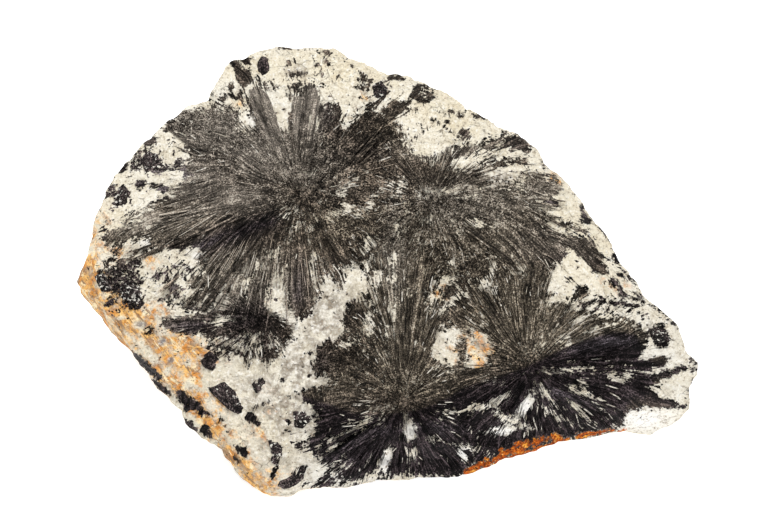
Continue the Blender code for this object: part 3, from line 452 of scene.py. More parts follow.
# Granular parts, where the rays are seen end on, in the same terms
CORE_PLACES = [
    (322, 190, 62, 46, 1.0), (345, 150, 50, 36, 0.9), (428, 206, 50, 30, 1.0),
    (380, 190, 50, 30, 0.9), (403, 392, 26, 20, 0.7), (529, 362, 26, 18, 0.7),
    (250, 150, 50, 26, 0.7), (225, 130, 36, 22, 0.8), (475, 208, 50, 26, 0.6),
    (345, 225, 46, 26, 0.8), (262, 330, 34, 22, 0.7), (324, 362, 22, 26, 1.0),
    (500, 180, 40, 16, 0.5), (415, 240, 40, 20, 0.6), (455, 262, 46, 26, 0.5),
    (468, 352, 34, 24, 0.6), (345, 350, 30, 30, 0.6), (545, 210, 40, 20, 0.4),
    (184, 120, 24, 16, 1.0), (122, 284, 30, 26, 1.0),
]

# Suns on the sides that the picture doesn't show: centre and facing in millimetres, reach
FAR_SUNS = [
    ((24.0, 34.0, 20.0), (0.3, 1.0, 0.1), 15.0), ((-22.0, 38.0, 24.0), (-0.2, 1.0, 0.2), 13.0),
    ((-52.0, 14.0, 12.0), (-1.0, 0.5, -0.3), 12.0), ((50.0, -2.0, 12.0), (0.8, 0.8, 0.0), 13.0),
    ((2.0, 40.0, 14.0), (0.0, 1.0, 0.0), 10.0), ((-40.0, 24.0, 10.0), (-0.7, 0.8, -0.3), 11.0),
]

# Relief of the broken faces: height and length of lumps and knobs in metres, how far they bend
# the ledges, and the ledges' height and spacing along the cleavage
LUMPS, KNOBS, LEDGE_BEND = (0.0012, 0.017), (0.0008, 0.0075), (0.7, 0.022)
LEDGE_HEIGHT, LEDGE_SPACING = 0.0011, 0.0085
CLEAVAGE = np.array([0.42, 0.36, 0.83])
HIDDEN_RELIEF, HIDDEN_FINE_RELIEF = 1.7, 1.3

# The same for the small knobs, chips, grit and thin steps
SMALL_KNOBS, CHIPS, GRIT, STEP_BEND = (
    (0.00032, 0.0030), (0.00020, 0.0014), (0.00010, 0.0007), (0.9, 0.006))
STEP_HEIGHT, STEP_SPACING = 0.00028, 0.0026
STEP_CLEAVAGE = np.array([-0.30, 0.80, 0.52])

# Powers of the edge's correction and of the wall's curve
MISFIT_POWER, WALL_POWER = 6, 1.25

# Relief fades out over this share of the way to the outline and this height above the floor
RIM_FADE, FLOOR_FADE = 0.06, 0.004
FINE_RIM_FADE, FINE_FLOOR_FADE = 0.02, 0.002

# Rock skin: points round it, rings on each part, and how deep it lies under the suns in metres
SKIN_COLUMNS = 760
UPPER_RINGS, WALL_RINGS, BACK_RINGS, BASE_RINGS = 82, 24, 18, 4
SUNK = 0.0006

# Hidden side: share of the way in and height of the curve's middle, and walls too low for relief
BELLY_SHARE, BELLY_HEIGHT = 0.25, 0.40
LOW_WALL = 0.015

# Sun beds: points round and rings, then body, ridges, dip, hub and underside in metres
SUN_MESHES = {
    "main_sun": (900, 74), "right_sun": (760, 66), "centre_sun": (720, 66),
    "right_front_sun": (720, 60), "feather_spray": (400, 44),
}
BODY, RIDGE, DIP, HUB_LIFT, UNDERSIDE = 0.00055, 0.00135, 0.0008, 0.0006, -0.0060
FURTHEST_OUT = 0.985

# How far rays droop with distance, in radians per pixel
DROOP = {"main_sun": 0.0016, "right_sun": 0.0026, "centre_sun": 0.0, "right_front_sun": 0.0006,
         "feather_spray": 0.0}

# White slivers tried on each sun, and the smooth part of one sun that has none
SLIVERS = {"main_sun": 130, "right_sun": 80, "centre_sun": 150, "right_front_sun": 100,
           "feather_spray": 50}
NO_SLIVERS = (610, 344, 32, 13, 10)

# Single crystals: points round and rings, then bevel, lifts, skirt and underside in metres
CRYSTAL_COLUMNS, CRYSTAL_RINGS = 72, 12
BEVEL, LEAST_BEVEL, GROOVE = 0.0022, 0.00005, 0.00007
CRYSTAL_LIFT, LATH_LIFT, SKIRT, CRYSTAL_UNDERSIDE = 0.0008, 0.0021, -0.0012, -0.0022

# Blades: strands in each, and the half width in metres from which a prism takes the sun's rays
STRANDS = 7
BROAD = 0.0002

# Direction in which the stains on the left edge run
EDGE_WAY = (0.61, -0.75, -0.28)

# Colours of the feldspar, its stains and the aegirine: red, green and blue
SHADES = {
    "warm white": (0.66, 0.600, 0.475), "white": (0.78, 0.735, 0.635),
    "cream": (0.66, 0.570, 0.40), "pale cream": (0.735, 0.680, 0.54),
    "brilliant": (0.93, 0.92, 0.90), "blue grey": (0.17, 0.175, 0.19),
    "dark clear": (0.15, 0.122, 0.092), "light clear": (0.56, 0.50, 0.42),
    "dull grain": (0.36, 0.30, 0.225), "bright grain": (0.90, 0.88, 0.83),
    "crack": (0.20, 0.16, 0.115), "fleck": (0.70, 0.67, 0.60),
    "deep ochre": (0.45, 0.170, 0.022), "ochre": (0.83, 0.47, 0.125),
    "orange": (0.66, 0.250, 0.026), "bloom": (0.90, 0.74, 0.46),
    "greyed ochre": (0.30, 0.24, 0.18), "brown grain": (0.22, 0.100, 0.035),
    "brown seam": (0.26, 0.140, 0.060), "pale seam": (0.88, 0.72, 0.44),
    "deep rust": (0.22, 0.030, 0.005), "rust": (0.60, 0.130, 0.010),
    "amber": (0.92, 0.38, 0.05), "rust gap": (0.050, 0.020, 0.012),
    "rust spark": (1.0, 0.66, 0.22), "rust speck": (0.045, 0.014, 0.008),
    "aegirine": (0.0575, 0.0450, 0.0345), "olive": (0.133, 0.110, 0.081),
    # The sheen shade is a painted grey reflection on the aegirine, the lilac one a painted gleam on
    # its near-black
    "sheen": (0.212, 0.184, 0.153), "night": (0.0160, 0.0120, 0.0142),
    "painted_lilac_gleam": (0.050, 0.042, 0.053), "brightest ray": (0.60, 0.55, 0.47),
    "dull sliver": (0.42, 0.37, 0.29), "white sliver": (0.76, 0.72, 0.64),
    "dark speck": (0.16, 0.135, 0.105),
}

# Floor and lights: place in metres and power in watts of each soft light
FLOOR_SIZE, FLOOR_WHITE, FLOOR_GLOW, SURROUND = 6.0, 0.93, 0.62, 0.34
LIGHTS = {
    "overhead": ((-0.08, 0.20, 0.62), 3.9), "left_soft": ((-0.45, -0.35, 0.35), 1.2),
    "right_soft": ((0.50, -0.40, 0.30), 2.1),
}
LIGHT_SIZE = 0.40
LIT_POINT = (0.0, 0.0, 0.02)


def lattice(cell, seed):
    """Fixed pseudo-random value from -1 to 1 for each whole-number cell."""
    mask = 0xFFFFFFFF
    mixed = (cell[..., 0] * 73856093) ^ (cell[..., 1] * 19349663) ^ (cell[..., 2] * 83492791)
    mixed = (mixed ^ (seed * 2654435761)) & mask
    mixed = ((mixed ^ (mixed >> 13)) * 1274126177) & mask
    mixed = mixed ^ (mixed >> 16)
    return mixed / mask * 2.0 - 1.0


def noise(points, length, seed):
    """Smooth value noise from -1 to 1: lattice values blended by 3t^2 - 2t^3 along each axis."""
    scaled = points / length
    cell = np.floor(scaled).astype(np.int64)
    part = scaled - cell
    part = part * part * (3.0 - 2.0 * part)
    total = np.zeros(points.shape[:-1])
    for corner in np.ndindex(2, 2, 2):
        share = np.ones(points.shape[:-1])
        for axis, side in enumerate(corner):
            share = share * (part[..., axis] if side else 1.0 - part[..., axis])
        total = total + share * lattice(cell + np.array(corner), seed)
    return total


def step_up(value, low, high):
    """0 below low, 1 above high, and 3t^2 - 2t^3 between."""
    part = np.clip((value - low) / (high - low), 0.0, 1.0)
    return part * part * (3.0 - 2.0 * part)


def place(across, down, height):
    """Points at a height in metres that are seen at the given pixels."""
    right = (across - VIEW_CENTRE[0]) / FOCAL
    rise = (VIEW_CENTRE[1] - down) / FOCAL
    ray = right[..., None] * np.array([1.0, 0.0, 0.0]) + FORWARD + rise[..., None] * UPWARD
    reach = (height - EYE[2]) / ray[..., 2]
    return EYE + reach[..., None] * ray


def outward(points):
    """Unit vectors away from the rock's middle line, which runs left to right."""
    ray = points - HEART
    ray[..., 0] = (1.0 - HEART_SPAN) * points[..., 0]
    return ray / np.linalg.norm(ray, axis=-1, keepdims=True)


def round_hub(across, down):
    """Direction round the hub and distance from it, of the given pixels."""
    aside = across - HUB[0]
    below = down - HUB[1]
    return np.mod(np.arctan2(below, aside), TURN), np.hypot(aside, below)


def polar(readings):
    """Direction round the hub, distance from it and value of each reading, in order of direction."""
    table = np.array(readings, dtype=float)
    direction, distance = round_hub(table[:, 0], table[:, 1])
    order = np.argsort(direction)
    return direction[order], distance[order], table[order, 2]


OUTLINE_POLAR = polar(OUTLINE)
EDGE_POLAR = polar(EDGE)
DRAW_IN_POLAR = polar(DRAW_IN)
REACH, VALUE = 1, 2


def along(direction, table, column):
    """Distance or value in any direction, straight from each reading to the next."""
    return np.interp(direction, table[0], table[column], period=TURN)


def sheet_kernel(first, second):
    """Thin plate kernel r^2 log r^2 between two sets of pixels."""
    gap = ((first[:, None, :] - second[None, :, :]) / 100.0) ** 2
    square = gap.sum(axis=2)
    return square * np.log(square + 1e-12)


def fit_sheet(readings):
    """The smoothest sheet through the readings, as weights of the kernel and a plane."""
    table = np.array(readings, dtype=float)
    pixels = table[:, :2]
    count = len(table)
    plane = np.column_stack([np.ones(count), pixels / 100.0])
    system = np.zeros((count + 3, count + 3))
    system[:count, :count] = sheet_kernel(pixels, pixels)
    system[:count, count:] = plane
    system[count:, :count] = plane.T
    wanted = np.concatenate([table[:, 2], np.zeros(3)])
    return pixels, np.linalg.solve(system, wanted)


SHEET_PIXELS, SHEET_WEIGHTS = fit_sheet(UPPER_FACE + EDGE)


def sheet_height(across, down):
    """Height in millimetres of the sheet at any pixels."""
    flat = np.column_stack([np.ravel(across), np.ravel(down)])
    plane = np.column_stack([np.ones(len(flat)), flat / 100.0])
    value = sheet_kernel(flat, SHEET_PIXELS) @ SHEET_WEIGHTS[:-3] + plane @ SHEET_WEIGHTS[-3:]
    return value.reshape(np.shape(across))


def seen_height(across, down):
    """Height in metres of the visible surface: the sheet, then the wall out to the outline."""
    direction, distance = round_hub(across, down)
    edge = along(direction, EDGE_POLAR, REACH)
    edge_height = along(direction, EDGE_POLAR, VALUE)
    outline = along(direction, OUTLINE_POLAR, REACH)
    outline_height = along(direction, OUTLINE_POLAR, VALUE)
    share = np.clip(distance / edge, 0.0, 1.0)
    edge_across = HUB[0] + edge * np.cos(direction)
    edge_down = HUB[1] + edge * np.sin(direction)
    misfit = edge_height - sheet_height(edge_across, edge_down)
    upper = sheet_height(across, down) + misfit * share ** MISFIT_POWER
    out = np.clip((distance - edge) / (outline - edge), 0.0, 1.0)
    wall = edge_height + (outline_height - edge_height) * out ** WALL_POWER
    return np.where(distance <= edge, upper, wall) / 1000.0


def outline_share(across, down):
    """0 at the hub, 1 on the outline."""
    direction, distance = round_hub(across, down)
    return distance / along(direction, OUTLINE_POLAR, REACH)


def bumps(points, size, seed):
    """Noise times a height, with size the height and the length of the bumps."""
    return size[0] * noise(points, size[1], seed)


def ledges(points, cleavage, spacing, height, bend):
    """Saw-toothed steps h (t - floor(t) - 0.5), with t the way along the cleavage plus a bend."""
    slant = points @ cleavage / spacing + bend
    return (slant - np.floor(slant) - 0.5) * height


def relief(points):
    """Lumps, knobs and cleavage ledges of a broken face, in metres."""
    ledge = ledges(points, CLEAVAGE, LEDGE_SPACING, LEDGE_HEIGHT, bumps(points, LEDGE_BEND, 5))
    return bumps(points, LUMPS, 1) + bumps(points, KNOBS, 2) + ledge


def fine_relief(points):
    """Small knobs, chips and thin cleavage steps, in metres."""
    steps = ledges(points, STEP_CLEAVAGE, STEP_SPACING, STEP_HEIGHT, bumps(points, STEP_BEND, 15))
    knobs = bumps(points, SMALL_KNOBS, 11) + bumps(points, CHIPS, 12)
    return knobs + steps + bumps(points, GRIT, 13)


def rim_fade(across, down, height, share, low):
    """0 at the outline and on the floor, 1 from a share of the way in and a height upward."""
    fade = np.clip((1.0 - outline_share(across, down)) / share, 0.0, 1.0)
    return fade * np.clip(height / low, 0.0, 1.0)


def smooth_surface(across, down, lift):
    """Points over the visible surface at the given pixels, lifted outward."""
    base = place(across, down, seen_height(across, down))
    return base + np.asarray(lift)[..., None] * outward(base)


def rock_lift(across, down):
    """Relief of the broken rock at the given pixels, which fades out at the outline."""
    base = place(across, down, seen_height(across, down))
    return relief(base) * rim_fade(across, down, base[..., 2], RIM_FADE, FLOOR_FADE)


def on_rock(pixels, lift):
    """Points on the broken surface at the given pixels, lifted outward."""
    across, down = pixels[..., 0], pixels[..., 1]
    return smooth_surface(across, down, rock_lift(across, down) + lift)


def ellipse_depth(across, down, spot):
    """How far inside a tilted ellipse a pixel is, in pixels: (1 - r) times the half width."""
    middle_across, middle_down, half_length, half_width, tilt = spot
    turn = math.radians(tilt)
    aside = across - middle_across
    below = down - middle_down
    run = aside * math.cos(turn) - below * math.sin(turn)
    side = aside * math.sin(turn) + below * math.cos(turn)
    radius = np.sqrt((run / half_length) ** 2 + (side / half_width) ** 2)
    return (1.0 - radius) * min(half_length, half_width)


def line_gap(across, down, first, last):
    """Distance in pixels to the straight line between two points."""
    run = np.array([last[0] - first[0], last[1] - first[1]])
    share = ((across - first[0]) * run[0] + (down - first[1]) * run[1]) / (run @ run)
    share = np.clip(share, 0.0, 1.0)
    return np.hypot(across - first[0] - share * run[0], down - first[1] - share * run[1])


def polygon_depth(across, down, border):
    """Distance in pixels to the nearest side of a polygon, positive inside it."""
    corner = np.array(border, dtype=float)
    ahead = np.roll(corner, -1, axis=0)
    nearest = np.full(across.shape, FAR_AWAY)
    inside = np.zeros(across.shape, dtype=bool)
    for first, last in zip(corner, ahead):
        nearest = np.minimum(nearest, line_gap(across, down, first, last))
        if first[1] != last[1]:
            crossing = (down < first[1]) != (down < last[1])
            side = first[0] + (down - first[1]) * (last[0] - first[0]) / (last[1] - first[1])
            inside ^= crossing & (across < side)
    return np.where(inside, nearest, -nearest)


GRID_STEP = 1.0
SHAPE_MARGIN = 14.0
GRID_ACROSS = np.arange(70.0, 708.0, GRID_STEP)
GRID_DOWN = np.arange(40.0, 506.0, GRID_STEP)


def dark_grid():
    """Depth inside the aegirine over the view in pixels, and inside any of the crisp shapes."""
    down, across = np.meshgrid(GRID_DOWN, GRID_ACROSS, indexing="ij")
    depth = polygon_depth(across, down, SUN_BORDER)
    for spot in WHITE_SPOTS:
        depth = np.minimum(depth, -ellipse_depth(across, down, spot))
    for spot in DARK_SPOTS:
        depth = np.maximum(depth, ellipse_depth(across, down, spot))
    crisp = np.full(depth.shape, -SHAPE_MARGIN)
    for sign, shapes in ((-1.0, WHITE_SHAPES), (1.0, DARK_SHAPES)):
        for shape in shapes:
            low = np.min(shape, axis=0) - SHAPE_MARGIN
            high = np.max(shape, axis=0) + SHAPE_MARGIN
            columns = slice(*np.searchsorted(GRID_ACROSS, (low[0], high[0])))
            rows = slice(*np.searchsorted(GRID_DOWN, (low[1], high[1])))
            inside = polygon_depth(across[rows, columns], down[rows, columns], shape)
            crisp[rows, columns] = np.maximum(crisp[rows, columns], inside)
            depth[rows, columns] = sign * np.maximum(sign * depth[rows, columns], inside)
    return depth, crisp


DARK_GRID, CRISP_GRID = dark_grid()


def dark_depth(across, down):
    """Depth inside the aegirine in millimetres."""
    return read_grid(DARK_GRID, across, down) / PIXELS_PER_MM


def read_grid(grid, across, down):
    """Value of a grid at any pixels, read between its nearest four values."""
    column = np.clip((across - GRID_ACROSS[0]) / GRID_STEP, 0.0, len(GRID_ACROSS) - 1.001)
    row = np.clip((down - GRID_DOWN[0]) / GRID_STEP, 0.0, len(GRID_DOWN) - 1.001)
    left = column.astype(int)
    top = row.astype(int)
    right_share = column - left
    low_share = row - top
    upper = grid[top, left] * (1 - right_share) + grid[top, left + 1] * right_share
    lower = grid[top + 1, left] * (1 - right_share) + grid[top + 1, left + 1] * right_share
    return upper * (1 - low_share) + lower * low_share


def tint(across, down, places):
    """Largest of the places' round hills exp(-r^2), each times its strength."""
    total = np.zeros(across.shape)
    for middle_across, middle_down, half_width, half_height, strength in places:
        square = ((across - middle_across) / half_width) ** 2
        square = square + ((down - middle_down) / half_height) ** 2
        total = np.maximum(total, strength * np.exp(-square))
    return total


def near_line(across, down, line, width):
    """Hill exp(-(d/width)^2) beside a broken line, with d the distance to it in pixels."""
    nearest = np.full(across.shape, FAR_AWAY)
    for first, last in zip(line[:-1], line[1:]):
        nearest = np.minimum(nearest, line_gap(across, down, first, last))
    return np.exp(-(nearest / width) ** 2)


def reach_of(name, angle):
    """Reach of a sun in pixels by direction in degrees."""
    table = np.array(SUNS[name][2], dtype=float)
    return np.interp(angle, table[:, 0], table[:, 1], period=360.0)


def ray_point(name, turn, distance):
    """Pixel on a ray that leaves the centre at an angle and droops to both sides with distance."""
    centre = SUNS[name][0]
    bent = turn - DROOP[name] * distance * np.cos(turn)
    across = centre[0] + distance * np.cos(bent)
    return np.stack([across, centre[1] - distance * np.sin(bent)], axis=-1)


def sway(across, down):
    """Small turn of the rays from place to place in radians: 0.05 n(9 mm) + 0.025 n(3 mm)."""
    spot = np.stack([across, down, np.zeros(across.shape)], axis=-1) / PIXELS_PER_MM * MM
    return 0.05 * noise(spot, 0.009, 51) + 0.025 * noise(spot, 0.003, 52)


def nearest_sun(across, down):
    """Share of the way out to the nearest sun's rim, and (cos, sin, distance) of its bent rays."""
    best = np.full(across.shape, FAR_AWAY)
    ray = np.zeros(across.shape + (3,))
    wave = sway(across, down)
    for name, (centre, _, _) in SUNS.items():
        aside = across - centre[0]
        above = centre[1] - down
        distance = np.hypot(aside, above)
        turn = np.arctan2(above, aside)
        share = distance / reach_of(name, np.degrees(turn) % 360.0)
        turn = turn + DROOP[name] * distance * np.cos(turn) + wave
        closer = share < best
        best = np.where(closer, share, best)
        now = np.stack([np.cos(turn), np.sin(turn), distance / PIXELS_PER_MM / 10.0], axis=-1)
        ray = np.where(closer[..., None], now, ray)
    return best, ray


def project(points):
    """Pixels at which the view shows the points."""
    ray = points - EYE
    depth = ray @ FORWARD
    across = VIEW_CENTRE[0] + FOCAL * ray[..., 0] / depth
    return across, VIEW_CENTRE[1] - FOCAL * (ray @ UPWARD) / depth


def surface(name, points, faces, channels, smooth=True):
    """A mesh piece from whole arrays: points, triangles turned outward, and named channels."""
    corner = points[faces]
    volume = np.einsum("ij,ij->i", corner[:, 0], np.cross(corner[:, 1], corner[:, 2])).sum()
    if volume < 0.0:
        faces = faces[:, ::-1]
    mesh = bpy.data.meshes.new(name)
    mesh.vertices.add(len(points))
    mesh.vertices.foreach_set("co", points.astype(np.float32).ravel())
    mesh.loops.add(faces.size)
    mesh.loops.foreach_set("vertex_index", faces.astype(np.int32).ravel())
    mesh.polygons.add(len(faces))
    mesh.polygons.foreach_set("loop_start", np.arange(0, faces.size, 3, dtype=np.int32))
    mesh.polygons.foreach_set("loop_total", np.full(len(faces), 3, dtype=np.int32))
    mesh.polygons.foreach_set("use_smooth", np.full(len(faces), smooth))
    mesh.update(calc_edges=True)
    for channel, values in channels.items():
        kind = "FLOAT_VECTOR" if values.ndim == 2 else "FLOAT"
        store = mesh.attributes.new(channel, kind, "POINT")
        key = "vector" if values.ndim == 2 else "value"
        store.data.foreach_set(key, values.astype(np.float32).ravel())
    mesh.validate()
    piece = bpy.data.objects.new(name, mesh)
    bpy.context.scene.collection.objects.link(piece)
    return piece


def ring_faces(rings, count):
    """Triangles of closed rings between a first and a last pole, with a fan to each pole."""
    step = np.arange(count)
    ahead = (step + 1) % count
    row = 1 + np.arange(rings - 1)[:, None] * count
    lower = np.stack([row + step, row + ahead, row + count + ahead], axis=-1)
    upper = np.stack([row + step, row + count + ahead, row + count + step], axis=-1)
    end = 1 + (rings - 1) * count
    return np.concatenate([
        lower.reshape(-1, 3), upper.reshape(-1, 3),
        np.column_stack([np.zeros(count, dtype=int), 1 + ahead, 1 + step]),
        np.column_stack([end + step, end + ahead, np.full(count, end + count)]),
    ])


def dress(piece, node, material):
    """Gives a piece its material, hangs it under the root and hides the part it stands for."""
    piece.data.materials.append(material)
    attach(piece, "root")
    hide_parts(node)
    return piece


def far_suns(points):
    """Depth inside the far suns in millimetres, and (cos, sin, distance) round their centres."""
    best = np.full(points.shape[:-1], -9.0)
    ray = np.zeros(points.shape)
    for number, (centre, facing, reach) in enumerate(FAR_SUNS):
        normal = np.array(facing) / np.linalg.norm(facing)
        side = np.cross(normal, [0.0, 0.0, 1.0])
        side = side / np.linalg.norm(side)
        rise = np.cross(side, normal)
        offset = points * 1000.0 - np.array(centre)
        turn = np.arctan2(offset @ rise, offset @ side)
        distance = np.linalg.norm(offset, axis=-1)
        rim = np.stack([np.cos(turn), np.sin(turn), np.full(turn.shape, 3.7 * number)], axis=-1)
        length = reach * (1.0 + 0.30 * noise(rim, 0.45, 31) + 0.16 * noise(rim, 0.10, 32))
        depth = (length - distance) * 0.6
        closer = depth > best
        best = np.where(closer, depth, best)
        now = np.stack([np.cos(turn), np.sin(turn), distance / 10.0], axis=-1)
        ray = np.where(closer[..., None], now, ray)
    return best, ray


def ray_tints(across, down):
    """Granular, olive and near-black parts of the aegirine, and its painted grey sheen and lilac
    gleam, at the given pixels.
    """
    # The front face loses the painted sheen and is painted near-black: its own dark colour and also
    # painted shade of a face turned from the lights.
    front = step_up(polygon_depth(across, down, FRONT_FACE), -2.0, 2.5)
    core, sheen, painted_lilac_gleam, olive, violet = (tint(across, down, places) for places in (
        CORE_PLACES, PAINTED_SHEEN_PLACES, PAINTED_GLEAM_PLACES, OLIVE_PLACES, VIOLET_PLACES))
    black = near_line(across, down, BLACK_RAY, BLACK_RAY_WIDTH)
    return {
        "core": core * (1.0 - 0.6 * front),
        "sheen": np.maximum(sheen * (1.0 - front), painted_lilac_gleam),
        "olive": olive * (1.0 - front),
        "violet": np.maximum.reduce([violet, front, black]),
    }


def stone_channels(points, seen):
    """Where aegirine, stains and greyness lie over the rock; seen is 1 on the visible side."""
    across, down = project(points)
    near = seen > 0.5
    far_dark, far_ray = far_suns(points)
    wander = 3.0 * noise(points, 0.011, 41) + 1.5 * noise(points, 0.004, 42)
    far_dark = np.maximum(far_dark, -2.2 + 1.3 * wander)
    low = step_up(0.012 - points[..., 2] + 0.006 * noise(points, 0.014, 43), 0.0, 0.008)
    left = step_up(-points[..., 0] - 0.030 + 0.014 * noise(points, 0.016, 44), 0.0, 0.020)
    far_stain = 0.9 * low * step_up(noise(points, 0.018, 45), -0.4, 0.5) + 0.8 * left
    stain = tint(across, down, OCHRE_PLACES)
    for line, width, strength in OCHRE_LINES:
        stain = np.maximum(stain, strength * near_line(across, down, line, width))
    tints = ray_tints(across, down)
    border = polygon_depth(across, down, SUN_BORDER)
    lone = step_up(-border, 0.0, 3.0) * (0.10 + 0.80 * step_up(down, 100.0, 190.0))
    tints["violet"] = np.maximum(tints["violet"], lone)
    inner = np.exp(-(np.minimum(border, 6.0) / 14.0) ** 2)
    ragged = 0.24 + 0.66 * inner * (1.0 - 0.55 * tints["violet"])
    sides = {
        "dark": (dark_depth(across, down), far_dark),
        "stain": (stain, np.clip(far_stain, 0.0, 1.0)),
        "grey": (tint(across, down, GREY_PLACES), step_up(noise(points, 0.020, 46), 0.1, 0.7)),
        "cream": (tint(across, down, CREAM_PLACES) - tint(across, down, PALE_PLACES),
                  step_up(noise(points, 0.025, 47), -0.3, 0.5)),
        "vivid": (np.maximum.reduce([near_line(across, down, *line) for line in VIVID_LINES]), 0.0),
        "ragged": (ragged, 0.9),
        "chips": (np.maximum(tint(across, down, CHIP_PLACES), ragged), 0.8),
        "core": (tints["core"], 0.3), "sheen": (tints["sheen"], 0.3),
        "olive": (tints["olive"], 0.5), "violet": (tints["violet"], 0.2),
    }
    channels = {title: np.where(near, here, there) for title, (here, there) in sides.items()}
    channels["ray"] = np.where(near[..., None], nearest_sun(across, down)[1], far_ray)
    channels["ragged"] = np.maximum(channels["ragged"], 0.6 * channels["chips"])
    crisp = step_up(read_grid(CRISP_GRID, across, down), -4.0, -1.0) * seen
    channels["ragged"] = channels["ragged"] + crisp * (0.22 - channels["ragged"])
    return channels


def rock_skin(material):
    """The whole rock: rings from the hub out to the outline, down the hidden side and under it.

    A point is centre + share * (outline - centre) in the view, put at its height, then moved
    outward by the relief; the hidden side is a quadratic curve from the outline to the base.
    """
    count = SKIN_COLUMNS
    direction = np.arange(count) / count * TURN
    edge = along(direction, EDGE_POLAR, REACH)
    outline = along(direction, OUTLINE_POLAR, REACH)
    circle = np.column_stack([np.cos(direction), np.sin(direction), np.zeros(count)])
    rag = 1.5 * noise(circle, 0.055, 21) + 1.1 * noise(circle, 0.020, 22)
    outline = outline + rag - 0.6
    upper = np.linspace(0.0, 1.0, UPPER_RINGS + 1)[1:] ** 0.75
    wall = np.linspace(0.0, 1.0, WALL_RINGS + 1)[1:]
    distance = np.concatenate([
        upper[:, None] * edge[None, :],
        edge[None, :] + wall[:, None] * (outline - edge)[None, :],
    ])
    across = HUB[0] + distance * np.cos(direction)
    down = HUB[1] + distance * np.sin(direction)
    base = place(across, down, seen_height(across, down))
    border = rim_fade(across, down, base[..., 2], FINE_RIM_FADE, FINE_FLOOR_FADE)
    cover = 1.0 - nearest_sun(across, down)[0]
    sunk = -SUNK * step_up(cover, 0.02, 0.14)
    lift = rock_lift(across, down) + fine_relief(base) * border + sunk
    seen = base + lift[..., None] * outward(base)
    rim = seen[-1]
    draw_in = along(direction, DRAW_IN_POLAR, VALUE) / 1000.0
    inward = rim.mean(axis=0) - rim
    inward[:, 2] = 0.0
    inward = inward / np.linalg.norm(inward, axis=1, keepdims=True)
    foot = rim + inward * draw_in[:, None]
    foot[:, 2] = 0.0
    belly = rim + BELLY_SHARE * (foot - rim)
    belly[:, 2] = BELLY_HEIGHT * rim[:, 2]
    share = (np.arange(1, BACK_RINGS + 1) / BACK_RINGS)[:, None, None]
    hidden = (1 - share) ** 2 * rim + 2 * share * (1 - share) * belly + share ** 2 * foot
    fade = 4.0 * share[..., 0] * (1.0 - share[..., 0]) * np.clip(rim[:, 2] / LOW_WALL, 0.0, 1.0)
    bulge = HIDDEN_RELIEF * relief(hidden) * fade
    bulge = bulge + HIDDEN_FINE_RELIEF * fine_relief(hidden) * np.sqrt(fade)
    hidden = hidden - inward * bulge[..., None]
    foot = hidden[-1]
    middle = foot.mean(axis=0)
    under = np.linspace(1.0, 0.0, BASE_RINGS + 1)[1:-1][:, None, None]
    under = middle + under * (foot - middle)
    rings = np.concatenate([seen, hidden, under])
    hub = on_rock(np.array([HUB]), -SUNK)
    points = np.concatenate([hub, rings.reshape(-1, 3), middle[None]])
    faces = ring_faces(len(rings), count)
    visible = np.zeros(len(points))
    visible[:1 + count * len(seen)] = 1.0
    piece = surface("rock_skin", points, faces, stone_channels(points, visible))
    return dress(piece, "feldspar_matrix", material)


def rib_height(ray, seed):
    """Ridges along the rays: folded noise round a cylinder, coarse, middling and fine."""
    wide = 1.0 - np.abs(noise(ray * np.array([1.0, 1.0, 0.035]), 0.060, seed))
    middling = 1.0 - np.abs(noise(ray * np.array([1.0, 1.0, 0.020]), 0.024, seed + 1))
    thin = noise(ray * np.array([1.0, 1.0, 0.016]), 0.012, seed + 2)
    return 0.55 * wide + 0.35 * middling + 0.14 * thin


